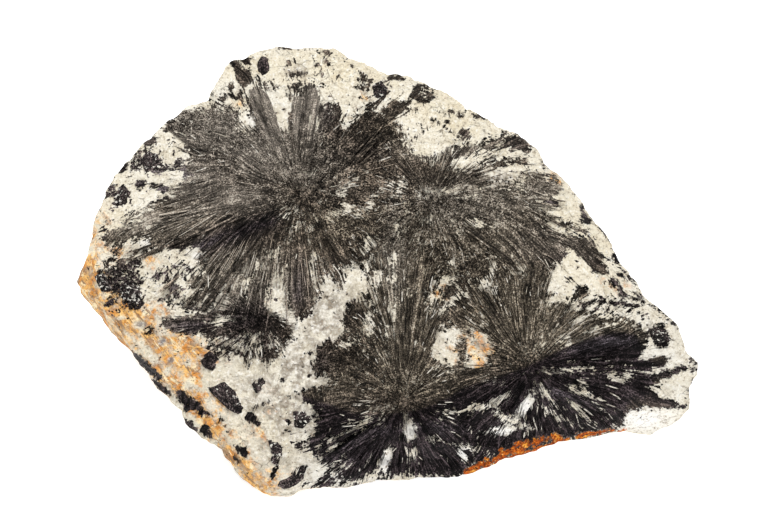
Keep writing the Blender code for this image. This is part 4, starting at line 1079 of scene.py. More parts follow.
def sun_bed(name, seed, material):
    """One ribbed sun: rings out to its ragged rim, lifted by ridges and sunk at the rim.

    The lift is h (1 - s^3) + ribs (1 - s^6) - dip s^8, with s the share of the way out.
    """
    columns, rings = SUN_MESHES[name]
    centre = np.array([SUNS[name][0]], dtype=float)
    turn = np.arange(columns) / columns * TURN
    circle = np.column_stack([np.cos(turn), np.sin(turn), np.zeros(columns)])
    rag = 1.0 + 0.05 * noise(circle, 0.09, seed + 7) + 0.06 * noise(circle, 0.03, seed + 8)
    rim = turn.copy()
    for _ in range(3):
        rim = turn - DROOP[name] * reach_of(name, np.degrees(rim) % 360.0) * np.cos(turn)
    reach = reach_of(name, np.degrees(rim) % 360.0) * rag * 1.03
    share = (np.arange(1, rings + 1) / rings)[:, None] ** 0.9
    wave = np.stack(np.broadcast_arrays(
        np.cos(turn)[None, :] * 2.0, np.sin(turn)[None, :] * 2.0, share * 2.0), axis=-1)
    bend = 0.055 * noise(wave, 0.8, seed + 9) + 0.028 * noise(wave, 0.25, seed + 6)
    pixels = ray_point(name, turn + bend, share * reach)
    across, down = pixels[..., 0], pixels[..., 1]
    outside = outline_share(across, down)
    ease = np.where(outside > FURTHEST_OUT, FURTHEST_OUT / outside, 1.0)
    across = HUB[0] + (across - HUB[0]) * ease
    down = HUB[1] + (down - HUB[1]) * ease
    radius = share * reach / PIXELS_PER_MM / 10.0
    ray = np.stack(np.broadcast_arrays(np.cos(turn)[None, :], np.sin(turn)[None, :], radius), axis=-1)
    ribs = rib_height(ray, seed + 10)
    base = place(across, down, seen_height(across, down))
    grain = noise(base, 0.0011, seed + 14) * 0.00022 + noise(base, 0.0022, seed + 15) * 0.00022
    bare = step_up(-dark_depth(across, down), -0.2, 0.5)
    core = np.clip(1.0 - share / 0.25, 0.0, 1.0)
    body = BODY * (1.0 - share ** 3)
    ridge = RIDGE * (ribs - 0.55) * (1.0 - share ** 6) * (1.0 - 0.7 * bare) * (1.0 - 0.6 * core)
    dip = DIP * share ** 8
    lift = rock_lift(across, down) + body + ridge + grain * (0.4 + 1.4 * core) - dip
    top = base + lift[..., None] * outward(base)
    pit = smooth_surface(centre[:, 0], centre[:, 1], np.array([UNDERSIDE]))
    points = np.concatenate([on_rock(centre, HUB_LIFT), top.reshape(-1, 3), pit])
    channels = stone_channels(points, np.ones(len(points)))
    pole = [[1.0, 0.0, 0.0]]
    channels["ray"] = np.concatenate([pole, ray.reshape(-1, 3), pole])
    piece = surface(name, points, ring_faces(rings, columns), channels)
    return dress(piece, "aegirine_suns", material)


def prism_set(name, start, end, half_width, half_height, lift_axis, tone, material, node):
    """Many slim four-sided prisms with pointed ends, one for each row of start and end.

    Each has a ring of four corners at 12 and 82 per cent of its length: the middle line plus or
    minus the half width sideways and the half height outward.
    """
    count = len(start)
    run = end - start
    side = np.cross(run, lift_axis)
    side = side / np.linalg.norm(side, axis=1, keepdims=True)
    rise = np.cross(side, run)
    rise = rise / np.linalg.norm(rise, axis=1, keepdims=True)
    wide = side * half_width[:, None]
    tall = rise * half_height[:, None]
    corners = [wide, tall, -wide, -tall]
    near = start + 0.12 * run
    far = start + 0.82 * run
    rows = [start] + [near + corner for corner in corners]
    rows += [far + 0.8 * corner for corner in corners] + [end]
    points = np.stack(rows, axis=1).reshape(-1, 3)
    shape = []
    for corner in range(4):
        ahead = (corner + 1) % 4
        shape.append((0, 1 + ahead, 1 + corner))
        shape.append((1 + corner, 1 + ahead, 5 + ahead))
        shape.append((1 + corner, 5 + ahead, 5 + corner))
        shape.append((5 + corner, 5 + ahead, 9))
    faces = (np.arange(count)[:, None, None] * 10 + np.array(shape)[None]).reshape(-1, 3)
    across, down = project(points)
    channels = ray_tints(across, down)
    channels["core"] = 0.5 * channels["core"]
    channels["tone"] = np.repeat(tone, 10)
    ray = nearest_sun(across, down)[1]
    own = np.column_stack([
        np.repeat(7.3 * tone, 10), np.repeat(half_width / MM * 9.0, 10), ray[:, 2]])
    broad = np.repeat(half_width > BROAD, 10)[:, None]
    channels["ray"] = np.where(broad, ray, own)
    piece = surface(name, points, faces, channels, smooth=False)
    return dress(piece, node, material)


def lay_needles(name, start, end, lifts, half_width, half_height, tone, material):
    """Aegirine prisms on the rock between two rows of pixels, with the lifts of both ends."""
    near, far = on_rock(start, lifts[0]), on_rock(end, lifts[1])
    return prism_set(name, near, far, half_width, half_height, outward(near), tone, material,
                     "aegirine_suns")


def depth_at(pixels):
    """Depth inside the aegirine in millimetres at rows of pixels."""
    return dark_depth(pixels[:, 0], pixels[:, 1])


def share_at(pixels):
    """Share of the way out to the outline at rows of pixels."""
    return outline_share(pixels[:, 0], pixels[:, 1])


def ray_ends(name, count, seed, low, high, shortest, longest):
    """Random rays of a sun: pixels of their two ends and the share of the way out of the middle."""
    chance = np.random.default_rng(seed)
    angle = chance.uniform(0.0, 360.0, count * 3)
    reach = reach_of(name, angle)
    kept = chance.uniform(0.0, 1.0, count * 3) < reach / reach.max()
    angle = angle[kept][:count]
    reach = reach[kept][:count]
    first = chance.uniform(low, high, len(angle)) ** 0.8
    length = chance.uniform(shortest, longest, len(angle)) / reach
    last = np.minimum(first + length, 1.0 + chance.uniform(-0.08, 0.03, len(angle)))
    first = np.minimum(first, last - 0.04)
    turn = np.radians(angle)
    turn = turn + DROOP[name] * reach * np.cos(turn)
    swerve = np.radians(chance.normal(0.0, 1.6, len(angle)))
    start = ray_point(name, turn, first * reach)
    end = ray_point(name, turn + swerve, last * reach)
    return start, end, 0.5 * (first + last), chance


def needles(name, seed, material):
    """Hundreds of needles along the rays of one sun, kept where the aegirine is."""
    start, end, share, chance = ray_ends(name, 2 * SUNS[name][1], seed, 0.05, 0.92, 14.0, 60.0)
    middle = 0.5 * (start + end)
    inside = (depth_at(middle) > 0.1) & (depth_at(end) > -0.35) & (share_at(end) < 0.97)
    granular = tint(middle[:, 0], middle[:, 1], CORE_PLACES)
    inside &= granular < chance.uniform(0.2, 1.1, len(granular))
    start, end, share = start[inside], end[inside], share[inside]
    count = len(start)
    start_lift = chance.uniform(0.0, 0.0009, count) * (1.0 - share ** 3)
    end_lift = start_lift + chance.normal(0.0, 0.00016, count) - 0.0002
    half_width = chance.uniform(0.00003, 0.00012, count)
    half_height = half_width * chance.uniform(0.6, 1.4, count)
    tone = chance.normal(0.0, 0.30, count)
    return lay_needles(name + "_needles", start, end, (start_lift, end_lift), half_width,
                       half_height, tone, material)


def fibres(material):
    """Long thin pale fibres that run along the lower left rays of the main sun."""
    chance = np.random.default_rng(402)
    turn = np.radians(chance.uniform(172.0, 275.0, 420))
    first = chance.uniform(40.0, 120.0, len(turn))
    last = first + chance.uniform(20.0, 70.0, len(turn))
    start = ray_point("main_sun", turn, first)
    end = ray_point("main_sun", turn + np.radians(chance.normal(0.0, 0.8, len(turn))), last)
    inside = (depth_at(end) > 0.1) & (depth_at(start) > 0.1)
    start, end = start[inside], end[inside]
    count = len(start)
    lift = chance.uniform(0.0005, 0.0011, count)
    half_width = chance.uniform(0.00003, 0.00009, count)
    return lay_needles("pale_fibres", start, end, (lift, 0.6 * lift), half_width, half_width,
                       chance.normal(0.9, 0.4, count), material)


def felt(material):
    """Short needles lying in every direction over the granular parts."""
    chance = np.random.default_rng(401)
    places = np.array(CORE_PLACES)
    pick = chance.integers(0, len(places), 9000)
    middle = places[pick, :2] + chance.normal(0.0, 0.55, (len(pick), 2)) * places[pick, 2:4]
    angle = chance.uniform(0.0, math.pi, len(pick))
    half = chance.uniform(0.8, 2.9, len(pick))
    step = np.column_stack([half * np.cos(angle), half * np.sin(angle)])
    inside = (depth_at(middle) > 0.3) & (share_at(middle) < 0.96)
    middle, step = middle[inside], step[inside]
    start, end = middle - step, middle + step
    count = len(start)
    lift = chance.uniform(0.0003, 0.0009, count)
    tip_lift = lift + chance.normal(0.0, 0.00022, count)
    half_width = chance.uniform(0.00004, 0.00011, count)
    return lay_needles("short_needles", start, end, (lift, tip_lift), half_width, half_width,
                       chance.normal(-0.1, 0.75, count), material)


def slivers(material):
    """White feldspar slivers between the rays."""
    sets = []
    for seed, (name, number) in enumerate(SLIVERS.items()):
        start, end, share, chance = ray_ends(name, number, 200 + seed, 0.35, 0.95, 4.0, 15.0)
        inside = (depth_at(end) > -0.2) & (share_at(end) < 0.96)
        inside &= ellipse_depth(end[:, 0], end[:, 1], NO_SLIVERS) < 0.0
        start, end, share = start[inside], end[inside], share[inside]
        count = len(start)
        lift = 0.0003 + 0.0006 * (1.0 - share ** 3) * chance.uniform(0.2, 1.0, count)
        sets.append((on_rock(start, lift), on_rock(end, lift),
                     chance.uniform(0.00005, 0.00015, count), chance.uniform(0.0, 1.0, count)))
    near, far, wide, tone = (np.concatenate(part) for part in zip(*sets))
    return prism_set("white_slivers", near, far, wide, 0.8 * wide, outward(near), tone, material,
                     "feldspar_matrix")


def grown(outline, distance):
    """A closed outline moved away from its middle by a distance in pixels."""
    middle = outline.mean(axis=0)
    ray = outline - middle
    return outline + distance * ray / np.linalg.norm(ray, axis=1, keepdims=True)


def even_outline(corners, columns):
    """Points evenly spaced along the straight sides between the corners."""
    corner = np.array(corners, dtype=float)
    closed = np.concatenate([corner, corner[:1]])
    length = np.concatenate([[0.0], np.cumsum(np.linalg.norm(np.diff(closed, axis=0), axis=1))])
    spot = np.arange(columns) / columns * length[-1]
    return np.column_stack([np.interp(spot, length, closed[:, axis]) for axis in (0, 1)])


def set_crystal(name, node, corners, lifted, seed, sheen, core, material):
    """A striated crystal in the rock: rings from its middle, bevelled rim, slanted top facets.

    The lift is the lowest of a bevel rising from the rim and three slanted planes, plus fine
    grooves along the crystal's longest side.
    """
    chance = np.random.default_rng(seed)
    columns, rings = CRYSTAL_COLUMNS, CRYSTAL_RINGS
    outline = even_outline(corners, columns)
    rag = np.column_stack([outline, np.full(columns, 9.0 * seed)])
    rag = 0.9 * noise(rag, 3.1, seed) + 0.5 * noise(rag, 1.3, seed + 1)
    outline = grown(outline, rag[:, None])
    middle = outline.mean(axis=0)
    spread = np.linalg.svd(outline - middle)[2]
    share = (np.arange(1, rings + 1) / rings)[:, None, None]
    pixels = middle + share * (outline - middle)[None]
    offset = (pixels - middle) / PIXELS_PER_MM * MM
    run = offset @ spread[0]
    side = offset @ spread[1]
    bevel = (1.0 - share[..., 0]) * BEVEL + LEAST_BEVEL
    top = np.full(run.shape, lifted)
    for _ in range(3):
        slope = chance.uniform(-0.35, 0.35, 2)
        top = np.minimum(top, lifted * chance.uniform(0.8, 1.1) + slope[0] * run + slope[1] * side)
    groove = noise(np.stack([side * 1.0, run * 0.08, np.zeros_like(run)], axis=-1), 0.00032, seed)
    lift = np.minimum(bevel, top) + GROOVE * groove
    points = np.concatenate([
        on_rock(middle[None], lift[0].mean()), on_rock(pixels, lift).reshape(-1, 3),
        on_rock(grown(outline, 1.0), SKIRT), on_rock(middle[None], CRYSTAL_UNDERSIDE)])
    ray = np.concatenate([[[0.0, 0.0]], np.stack([side, run], axis=-1).reshape(-1, 2),
                          np.zeros((columns, 2)), [[0.0, 0.0]]]) * 1000.0
    across, down = project(points)
    channels = ray_tints(across, down)
    # A sheen of 1 paints the grey reflection into the colour, as on the laths; 0 leaves the crystal
    # near-black
    for title, value in {
            "core": core, "sheen": sheen, "violet": 0.85 * (1.0 - sheen),
            "tone": chance.uniform(-0.1, 0.4) * (1.0 - sheen), "flecks": FLECKED.get(name, 0.0),
            }.items():
        channels[title] = np.full(len(points), value)
    channels["ray"] = np.column_stack([0.05 * ray[:, 0], np.zeros(len(points)), 0.1 * ray[:, 1]])
    faces = ring_faces(rings + 1, columns)
    piece = surface(name + "_piece", points, faces, channels, smooth=False)
    return dress(piece, node, material)


def blade_pieces(material):
    """The raised blades, each split into strands side by side, highest in the middle."""
    near, far, width = (np.array(part, dtype=float) for part in zip(*BLADES))
    wide = width / 2.0 / PIXELS_PER_MM * MM
    chance = np.random.default_rng(77)
    offset = np.linspace(-0.8, 0.8, STRANDS)
    run = far - near
    side = np.column_stack([-run[:, 1], run[:, 0]]) / np.linalg.norm(run, axis=1, keepdims=True)
    shift = offset[None, :, None] * (wide / MM * PIXELS_PER_MM)[:, None, None] * side[:, None, :]
    start = (near[:, None, :] + shift * 0.5).reshape(-1, 2)
    end = (far[:, None, :] + shift * 0.9).reshape(-1, 2)
    start += chance.normal(0.0, 3.0, start.shape)
    end += chance.normal(0.0, 3.0, end.shape)
    peak = np.tile(1.0 - np.abs(offset), len(near)) * 0.0009 + 0.0006
    drop = chance.uniform(-0.0002, 0.0002, len(peak))
    half = np.repeat(wide, STRANDS) / STRANDS * chance.uniform(1.2, 2.0, len(peak))
    tone = chance.normal(-0.05, 0.15, len(peak))
    return lay_needles("sun_blades", start, end, (peak + drop, peak * 0.5 + drop), half, half * 0.7,
                       tone, material)


def add_node(tree, kind, settings=None, values=None):
    """A shader node with its settings, and its sockets set or linked."""
    made = tree.nodes.new(kind)
    for key, value in (settings or {}).items():
        setattr(made, key, value)
    for key, value in (values or {}).items():
        fill(tree, made.inputs[key], value)
    return made


def fill(tree, socket, value):
    """Links an output to the socket, or sets the socket to a constant."""
    if isinstance(value, bpy.types.NodeSocket):
        tree.links.new(value, socket)
    else:
        socket.default_value = value


def maths(tree, operation, first, second=0.0, third=None):
    """The value of a Math node."""
    made = add_node(tree, "ShaderNodeMath", {"operation": operation}, {0: first, 1: second})
    if third is not None:
        fill(tree, made.inputs[2], third)
    return made.outputs[0]


def ramp(tree, value, low, high, start=0.0, finish=1.0):
    """A value mapped from low..high to start..finish, clamped."""
    made = add_node(tree, "ShaderNodeMapRange", {"clamp": True}, {
        "Value": value, "From Min": low, "From Max": high, "To Min": start, "To Max": finish})
    return made.outputs["Result"]


def times(tree, first, second):
    """The product of two values."""
    return maths(tree, "MULTIPLY", first, second)


def total(tree, *values):
    """The sum of several values."""
    whole = values[0]
    for value in values[1:]:
        whole = maths(tree, "ADD", whole, value)
    return whole


def weighted(tree, *terms):
    """The sum of several values, each times its weight."""
    return total(tree, *(times(tree, value, weight) for value, weight in terms))


def excess(tree, value, least, over):
    """0 where a value is at its least or below, 1 where it is further above than over."""
    return ramp(tree, maths(tree, "SUBTRACT", value, least), 0.0, over)


def blend(tree, factor, first, second):
    """One colour changed into another by a factor; a shade's name stands for its colour."""
    made = add_node(tree, "ShaderNodeMix", {"data_type": "RGBA"})
    for number, value in ((0, factor), (6, first), (7, second)):
        fill(tree, made.inputs[number], (*SHADES[value], 1) if isinstance(value, str) else value)
    return made.outputs[2]


def layered(tree, colour, layers):
    """A colour with others laid over it in turn, each by its factor."""
    for factor, shade in layers:
        colour = blend(tree, factor, colour, shade)
    return colour


def stretched(tree, vector, scale):
    """A vector multiplied along each axis."""
    made = add_node(tree, "ShaderNodeVectorMath", {"operation": "MULTIPLY"}, {0: vector, 1: scale})
    return made.outputs[0]


def texture_noise(tree, vector, scale, detail, rough, twist=0.0):
    """The value of a Noise Texture."""
    made = add_node(tree, "ShaderNodeTexNoise", {"noise_dimensions": "3D"}, {
        "Vector": vector, "Scale": scale, "Detail": detail, "Roughness": rough,
        "Distortion": twist})
    return made.outputs["Fac"]


def ray_noise(tree, ray, squeeze, detail, rough, twist=0.0):
    """Noise drawn out along the rays; squeeze is how fine it is round the sun and outward."""
    stretch = (squeeze[0], squeeze[0], squeeze[1])
    return texture_noise(tree, stretched(tree, ray, stretch), 1.0, detail, rough, twist)


def texture_cells(tree, vector, scale, feature="F1"):
    """The distance of a Voronoi Texture."""
    made = add_node(tree, "ShaderNodeTexVoronoi", {"feature": feature}, {
        "Vector": vector, "Scale": scale})
    return made.outputs["Distance"]


def channel(tree, name, key="Fac"):
    """A named channel of the piece's mesh."""
    made = add_node(tree, "ShaderNodeAttribute", {"attribute_name": name})
    return made.outputs[key]


def new_group(name, vectors, values, outputs):
    """An empty node group, its given sockets by name and a function that fills its outputs."""
    group = bpy.data.node_groups.new(name, "ShaderNodeTree")
    for title in vectors:
        group.interface.new_socket(title, in_out="INPUT", socket_type="NodeSocketVector")
    for title, default in values.items():
        socket = group.interface.new_socket(title, in_out="INPUT", socket_type="NodeSocketFloat")
        socket.default_value = default
    for title in outputs:
        kind = "NodeSocketColor" if title == "Color" else "NodeSocketFloat"
        group.interface.new_socket(title, in_out="OUTPUT", socket_type=kind)
    given = {socket.name: socket for socket in group.nodes.new("NodeGroupInput").outputs}
    result = group.nodes.new("NodeGroupOutput")

    def give(found):
        for title, value in found.items():
            fill(group, result.inputs[title], value)
        return group

    return group, given, give


def feldspar_group():
    """Broken feldspar: cream and white patches, grey clear grains, cracks, ochre and rust."""
    group, given, give = new_group(
        "feldspar_look", ["Place"], {"Stain": 0.0, "Vivid": 0.0, "Grey": 0.0, "Cream": 0.0},
        ["Color", "Roughness", "Height", "Rust"])
    spot, grey = given["Place"], given["Grey"]
    patch = texture_noise(group, spot, 150.0, 5.0, 0.6)
    blot = texture_noise(group, spot, 420.0, 4.0, 0.6)
    rind = texture_noise(group, spot, 400.0, 3.0, 0.55)
    grain = texture_noise(group, spot, 1000.0, 4.0, 0.65)
    fleck = texture_noise(group, spot, 2600.0, 3.0, 0.6)
    cells = texture_cells(group, spot, 1300.0)
    crack = texture_cells(group, stretched(group, spot, (1.0, 1.3, 2.0)), 300.0, "DISTANCE_TO_EDGE")
    dirt = times(group, ramp(group, crack, 0.035, 0.0), ramp(group, blot, 0.50, 0.62))
    mottle = weighted(group, (fleck, 0.5), (grain, 0.5))

    cream = blend(group, ramp(group, blot, 0.35, 0.65), "cream", "pale cream")
    clear = blend(group, ramp(group, grain, 0.38, 0.62), "dark clear", "light clear")
    clear = blend(group, ramp(group, grey, 1.0, 1.15), clear, "blue grey")
    clear_share = times(group, grey, ramp(group, blot, 0.40, 0.54))
    colour = blend(group, ramp(group, patch, 0.38, 0.62), "warm white", "white")
    colour = layered(group, colour, [
        (times(group, given["Cream"], 0.75), cream),
        (ramp(group, given["Cream"], 0.0, -1.0, 0.0, 0.85), "brilliant"),
        (times(group, clear_share, 0.88), clear),
        (ramp(group, mottle, 0.47, 0.37), "dull grain"),
        (ramp(group, mottle, 0.53, 0.60, 0.0, 0.6), "bright grain"),
        (times(group, dirt, 0.45), "crack")])

    # Streaks of ochre: noise in which nine tenths of the way along the edge are taken out
    run = add_node(group, "ShaderNodeVectorMath", {"operation": "DOT_PRODUCT"}, {
        0: spot, 1: EDGE_WAY}).outputs["Value"]
    back = add_node(group, "ShaderNodeVectorMath", {"operation": "SCALE"}, {
        0: EDGE_WAY, "Scale": times(group, run, -0.9)})
    strip = add_node(group, "ShaderNodeVectorMath", {"operation": "ADD"}, {
        0: spot, 1: back.outputs[0]}).outputs[0]
    seam = texture_noise(group, strip, 1300.0, 4.0, 0.65)
    ochre = blend(group, ramp(group, grain, 0.40, 0.58), "deep ochre", "ochre")
    ochre = layered(group, ochre, [
        (ramp(group, blot, 0.52, 0.60), "orange"), (ramp(group, rind, 0.56, 0.64), "bloom"),
        (ramp(group, rind, 0.44, 0.36, 0.0, 0.6), "greyed ochre"),
        (ramp(group, fleck, 0.43, 0.35), "brown grain"),
        (ramp(group, seam, 0.46, 0.40), "brown seam"), (ramp(group, seam, 0.59, 0.67), "pale seam")])
    warm = total(group, given["Stain"], ramp(group, grain, 0.3, 0.7, -0.5, 0.5),
                 ramp(group, patch, 0.3, 0.7, -0.6, 0.6), ramp(group, blot, 0.3, 0.7, -0.5, 0.5))
    warm = times(group, ramp(group, warm, 0.12, 0.85), ramp(group, grey, 0.75, 1.1, 1.0, 0.2))
    warm = times(group, warm, ramp(group, given["Stain"], 0.02, 0.15))

    fire = blend(group, ramp(group, grain, 0.40, 0.60), "deep rust", "rust")
    fire = layered(group, fire, [
        (ramp(group, blot, 0.57, 0.65), "amber"),
        (ramp(group, blot, 0.45, 0.40, 0.0, 0.85), "rust gap"),
        (ramp(group, fleck, 0.60, 0.70), "rust spark"),
        (ramp(group, fleck, 0.45, 0.39), "rust speck")])
    rust = total(group, given["Vivid"], ramp(group, grain, 0.3, 0.7, -0.4, 0.4),
                 ramp(group, blot, 0.3, 0.7, -0.5, 0.5))
    rust = times(group, ramp(group, rust, 0.40, 0.60), ramp(group, given["Vivid"], 0.02, 0.15))

    rough = weighted(group, (grain, 1.1), (fleck, 0.6), (cells, 0.5))
    return give({
        "Color": layered(group, colour, [(times(group, warm, 0.92), ochre), (rust, fire)]),
        "Roughness": ramp(group, fleck, 0.3, 0.7, 0.50, 0.85),
        "Height": maths(group, "SUBTRACT", rough, times(group, dirt, 0.5)), "Rust": rust})


def aegirine_group():
    """Aegirine cut along its rays: the base colour times e to the power of streaks and grains, whose
    bright peaks are partly painted glints, with more painted glints and a painted grey sheen and
    lilac gleam.
    """
    group, given, give = new_group(
        "aegirine_look", ["Place", "Ray"],
        {"Core": 0.0, "Sheen": 0.0, "Olive": 0.0, "Violet": 0.0, "Tone": 0.0},
        ["Color", "Roughness", "Height"])
    spot, ray, sheen, violet = given["Place"], given["Ray"], given["Sheen"], given["Violet"]
    bundle = ray_noise(group, ray, (7.0, 0.45), 2.0, 0.6, 0.8)
    wide = ray_noise(group, ray, (22.0, 0.40), 2.0, 0.5, 0.3)
    fine = ray_noise(group, ray, (60.0, 0.9), 3.0, 0.6, 0.3)
    hair = ray_noise(group, ray, (130.0, 2.2), 2.0, 0.6, 0.2)
    dots = texture_noise(group, spot, 3400.0, 2.0, 0.7)
    clump = texture_noise(group, spot, 600.0, 4.0, 0.65)
    drift = texture_noise(group, spot, 110.0, 3.0, 0.6)
    # Painted glints: rare bright specks added to the power that sets the colour's brightness
    spark = ramp(group, texture_noise(group, spot, 5200.0, 1.0, 0.5), 0.68, 0.76, 0.0, 1.3)
    core = ramp(group, total(
        group, given["Core"], ramp(group, clump, 0.3, 0.7, -0.3, 0.3)), 0.0, 0.6)

    streak = maths(group, "SUBTRACT", weighted(group, (wide, 5.0), (fine, 7.0), (hair, 4.0)), 8.2)
    streak = times(group, streak, ramp(group, core, 0.0, 1.0, 1.0, 0.22))
    grains = maths(group, "SUBTRACT", weighted(group, (dots, 16.0), (clump, 8.0)), 12.5)
    grains = times(group, grains, ramp(group, core, 0.0, 1.0, 0.50, 1.0))
    broad = maths(group, "SUBTRACT", weighted(group, (bundle, 4.0), (drift, 3.0)), 3.52)
    power = times(group, total(group, streak, grains), ramp(group, sheen, 0.2, 1.0, 1.0, 0.55))
    power = times(group, power, ramp(group, violet, 0.5, 1.0, 1.0, 1.35))
    power = total(group, power, given["Tone"])
    power = maths(group, "MULTIPLY_ADD", broad, ramp(group, sheen, 0.3, 1.0, 1.0, 0.4), power)
    power = total(group, power, spark)
    bright = maths(group, "MINIMUM", maths(group, "EXPONENT", power), 7.0)

    # Painted reflections: the lilac gleam on the near-black, and the grey sheen laid over the base
    # colour
    night = blend(group, sheen, "night", "painted_lilac_gleam")
    base = blend(group, given["Olive"], "aegirine", "olive")
    base = layered(group, base, [(sheen, "sheen"), (times(group, violet, 0.9), night)])
    scaled = add_node(group, "ShaderNodeVectorMath", {"operation": "SCALE"}, {
        0: base, "Scale": bright})
    capped = add_node(group, "ShaderNodeVectorMath", {"operation": "MINIMUM"}, {
        0: scaled.outputs[0], 1: SHADES["brightest ray"]})
    return give({
        "Color": capped.outputs[0], "Roughness": ramp(group, fine, 0.3, 0.7, 0.32, 0.62),
        "Height": weighted(group, (streak, 0.16), (grains, 0.12))})


def border_group():
    """Where aegirine meets feldspar: the depth made ragged along the rays and by small grains."""
    group, given, give = new_group(
        "ragged_border", ["Place", "Ray"], {"Depth": 0.0, "Ragged": 1.0, "Chips": 1.0}, ["Mask"])
    spot, ray, ragged, chips = given["Place"], given["Ray"], given["Ragged"], given["Chips"]
    shift = times(group, ray_noise(group, ray, (52.0, 3.2), 4.0, 0.6, 0.4), 8.0)
    for scale, detail, rough, strength in (
            (330.0, 3.0, 0.6, 6.0), (1000.0, 3.0, 0.7, 7.0), (2300.0, 2.0, 0.6, 3.5)):
        grain = texture_noise(group, spot, scale, detail, rough)
        shift = maths(group, "MULTIPLY_ADD", grain, strength, shift)
    shift = maths(group, "SUBTRACT", shift, 12.25)
    mask = ramp(group, maths(group, "MULTIPLY_ADD", shift, ragged, given["Depth"]), -0.08, 0.08)

    # Dark specks in the feldspar, then white streaks and flecks in the aegirine
    pepper = texture_noise(group, spot, 760.0, 2.0, 0.65)
    pepper = excess(group, pepper, ramp(group, chips, 0.2, 0.95, 0.72, 0.594), 0.02)
    mask = maths(group, "MAXIMUM", mask, pepper)
    salt = ray_noise(group, ray, (70.0, 9.0), 4.0, 0.7)
    shallow = maths(group, "MAXIMUM", ragged, chips)
    salt = excess(group, salt, ramp(group, shallow, 0.3, 0.9, 0.74, 0.64), 0.02)
    flecks = texture_noise(group, spot, 1500.0, 3.0, 0.7)
    flecks = excess(group, flecks, ramp(group, chips, 0.84, 1.1, 0.76, 0.545), 0.02)
    salt = maths(group, "MAXIMUM", salt, flecks)
    return give({"Mask": maths(group, "SUBTRACT", mask, times(group, mask, salt))})


def use_group(tree, group, values):
    """A node group placed in a material."""
    made = tree.nodes.new("ShaderNodeGroup")
    made.node_tree = group
    for key, value in values.items():
        fill(tree, made.inputs[key], value)
    return made.outputs


def new_material(name):
    """An empty Principled material, its shader and its Object coordinates."""
    material = bpy.data.materials.new(name)
    material.use_nodes = True
    tree = material.node_tree
    spot = add_node(tree, "ShaderNodeTexCoord").outputs["Object"]
    return material, tree, tree.nodes["Principled BSDF"], spot


def channels_for(tree, *titles):
    """Channels of the piece's mesh for the group sockets of the same names."""
    return {title.capitalize(): channel(tree, title) for title in titles}


def finish_look(tree, shader, colour, roughness, height, strength, bump_mm):
    """Gives the shader its colour, roughness and a bump of a strength and a distance."""
    bump = add_node(tree, "ShaderNodeBump", None, {
        "Strength": strength, "Distance": bump_mm * MM, "Height": height})
    for title, value in (("Base Color", colour), ("Roughness", roughness), (
            "Normal", bump.outputs["Normal"])):
        fill(tree, shader.inputs[title], value)


def stone_material(name, groups, bump_mm):
    """Feldspar and aegirine side by side, parted by the ragged border."""
    feldspar, aegirine, border = groups
    material, tree, shader, spot = new_material(name)
    way = {"Place": spot, "Ray": channel(tree, "ray", "Vector")}
    mask = use_group(tree, border, {
        **way, "Depth": channel(tree, "dark"), **channels_for(tree, "ragged", "chips")})["Mask"]
    stone = use_group(tree, feldspar, {
        "Place": spot, **channels_for(tree, "stain", "vivid", "grey", "cream")})
    crystal = use_group(tree, aegirine, {
        **way, **channels_for(tree, "core", "sheen", "olive", "violet")})
    mask = times(tree, mask, maths(tree, "SUBTRACT", 1.0, stone["Rust"]))
    rest = maths(tree, "SUBTRACT", 1.0, mask)
    colour = blend(tree, mask, stone["Color"], crystal["Color"])
    gloss, height = (weighted(tree, (crystal[title], mask), (stone[title], rest))
                     for title in ("Roughness", "Height"))
    finish_look(tree, shader, colour, gloss, height, 0.9, bump_mm)
    shader.inputs["Specular IOR Level"].default_value = 0.06
    return material


def needle_material(crystal):
    """Needles and single crystals: the aegirine look, each needle with its own tone."""
    material, tree, shader, spot = new_material("aegirine_needles")
    look = use_group(tree, crystal, {
        "Place": spot, "Ray": channel(tree, "ray", "Vector"),
        **channels_for(tree, "core", "sheen", "olive", "violet", "tone")})
    scarce = ramp(tree, channel(tree, "flecks"), 0.0, 1.0, 0.74, 0.555)
    dots = excess(tree, texture_noise(tree, spot, 1500.0, 3.0, 0.7), scarce, 0.02)
    colour = blend(tree, dots, look["Color"], "fleck")
    finish_look(tree, shader, colour, look["Roughness"], look["Height"], 0.8, 0.25)
    shader.inputs["Specular IOR Level"].default_value = 0.07
    return material


def sliver_material():
    """White feldspar slivers."""
    material, tree, shader, spot = new_material("feldspar_slivers")
    dots = texture_noise(tree, spot, 1800.0, 3.0, 0.6)
    light = blend(tree, channel(tree, "tone"), "dull sliver", "white sliver")
    colour = blend(tree, ramp(tree, dots, 0.52, 0.40), light, "dark speck")
    finish_look(tree, shader, colour, ramp(tree, dots, 0.3, 0.7, 0.4, 0.7), dots, 0.5, 0.06)
    return material


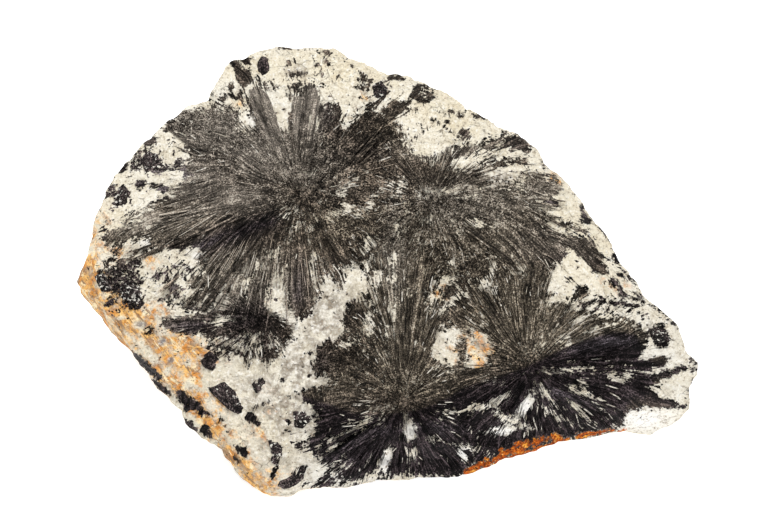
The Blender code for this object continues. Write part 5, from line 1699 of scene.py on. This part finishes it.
def floor_and_light():
    """A white floor, three soft lights and a pale surround."""
    bpy.ops.mesh.primitive_plane_add(size=FLOOR_SIZE, location=(0.0, 0.0, 0.0))
    floor = bpy.context.object
    floor.name = "studio_floor"
    material, _, shader, _ = new_material("white_floor")
    for title, value in {
            "Base Color": (FLOOR_WHITE, FLOOR_WHITE, FLOOR_WHITE, 1), "Roughness": 0.9,
            "Emission Color": (1.0, 1.0, 1.0, 1), "Emission Strength": FLOOR_GLOW}.items():
        shader.inputs[title].default_value = value
    floor.data.materials.append(material)
    for title, (spot, power) in LIGHTS.items():
        lamp = bpy.data.lights.new(title, "AREA")
        lamp.size = LIGHT_SIZE
        lamp.energy = power
        holder = bpy.data.objects.new(title, lamp)
        holder.location = spot
        aim = bpy.data.objects.new(title + "_aim", None)
        aim.location = LIT_POINT
        track = holder.constraints.new("TRACK_TO")
        track.target = aim
        track.track_axis = "TRACK_NEGATIVE_Z"
        track.up_axis = "UP_Y"
        bpy.context.scene.collection.objects.link(holder)
        bpy.context.scene.collection.objects.link(aim)
    world = bpy.data.worlds.new("pale_surround")
    world.use_nodes = True
    backdrop = world.node_tree.nodes["Background"]
    backdrop.inputs["Color"].default_value = (1.0, 1.0, 1.0, 1)
    backdrop.inputs["Strength"].default_value = SURROUND
    bpy.context.scene.world = world
    bpy.context.scene.view_settings.view_transform = "Standard"


def camera():
    """The camera 50 degrees above the horizon, aimed at the middle of the specimen."""
    lens = bpy.data.cameras.new("camera")
    lens.lens = LENS_MM
    lens.sensor_width = SENSOR_MM
    lens.clip_start = 0.01
    holder = bpy.data.objects.new("camera", lens)
    holder.location = tuple(EYE)
    holder.rotation_euler = (math.pi / 2 - ELEVATION, 0.0, 0.0)
    bpy.context.scene.collection.objects.link(holder)
    bpy.context.scene.camera = holder


camera()
floor_and_light()
looks = (feldspar_group(), aegirine_group(), border_group())
stone = stone_material("feldspar_rock", looks, bump_mm=0.45)
rays = stone_material("aegirine_rays", looks, bump_mm=0.40)
needle = needle_material(looks[1])

rock_skin(stone)
for order, sun in enumerate(SUNS):
    sun_bed(sun, seed=100 + 20 * order, material=rays)
    needles(sun, seed=300 + order, material=needle)
felt(needle)
fibres(needle)
blade_pieces(needle)
slivers(sliver_material())
for order, (crystal, corners) in enumerate(CRYSTALS.items()):
    set_crystal(crystal, crystal, corners, CRYSTAL_LIFT, seed=500 + order, sheen=0.0,
                core=0.2, material=needle)
for order, (lath, corners) in enumerate(LATHS.items()):
    set_crystal(lath, "aegirine_suns", corners, LATH_LIFT, seed=600 + order, sheen=1.0,
                core=0.0, material=needle)
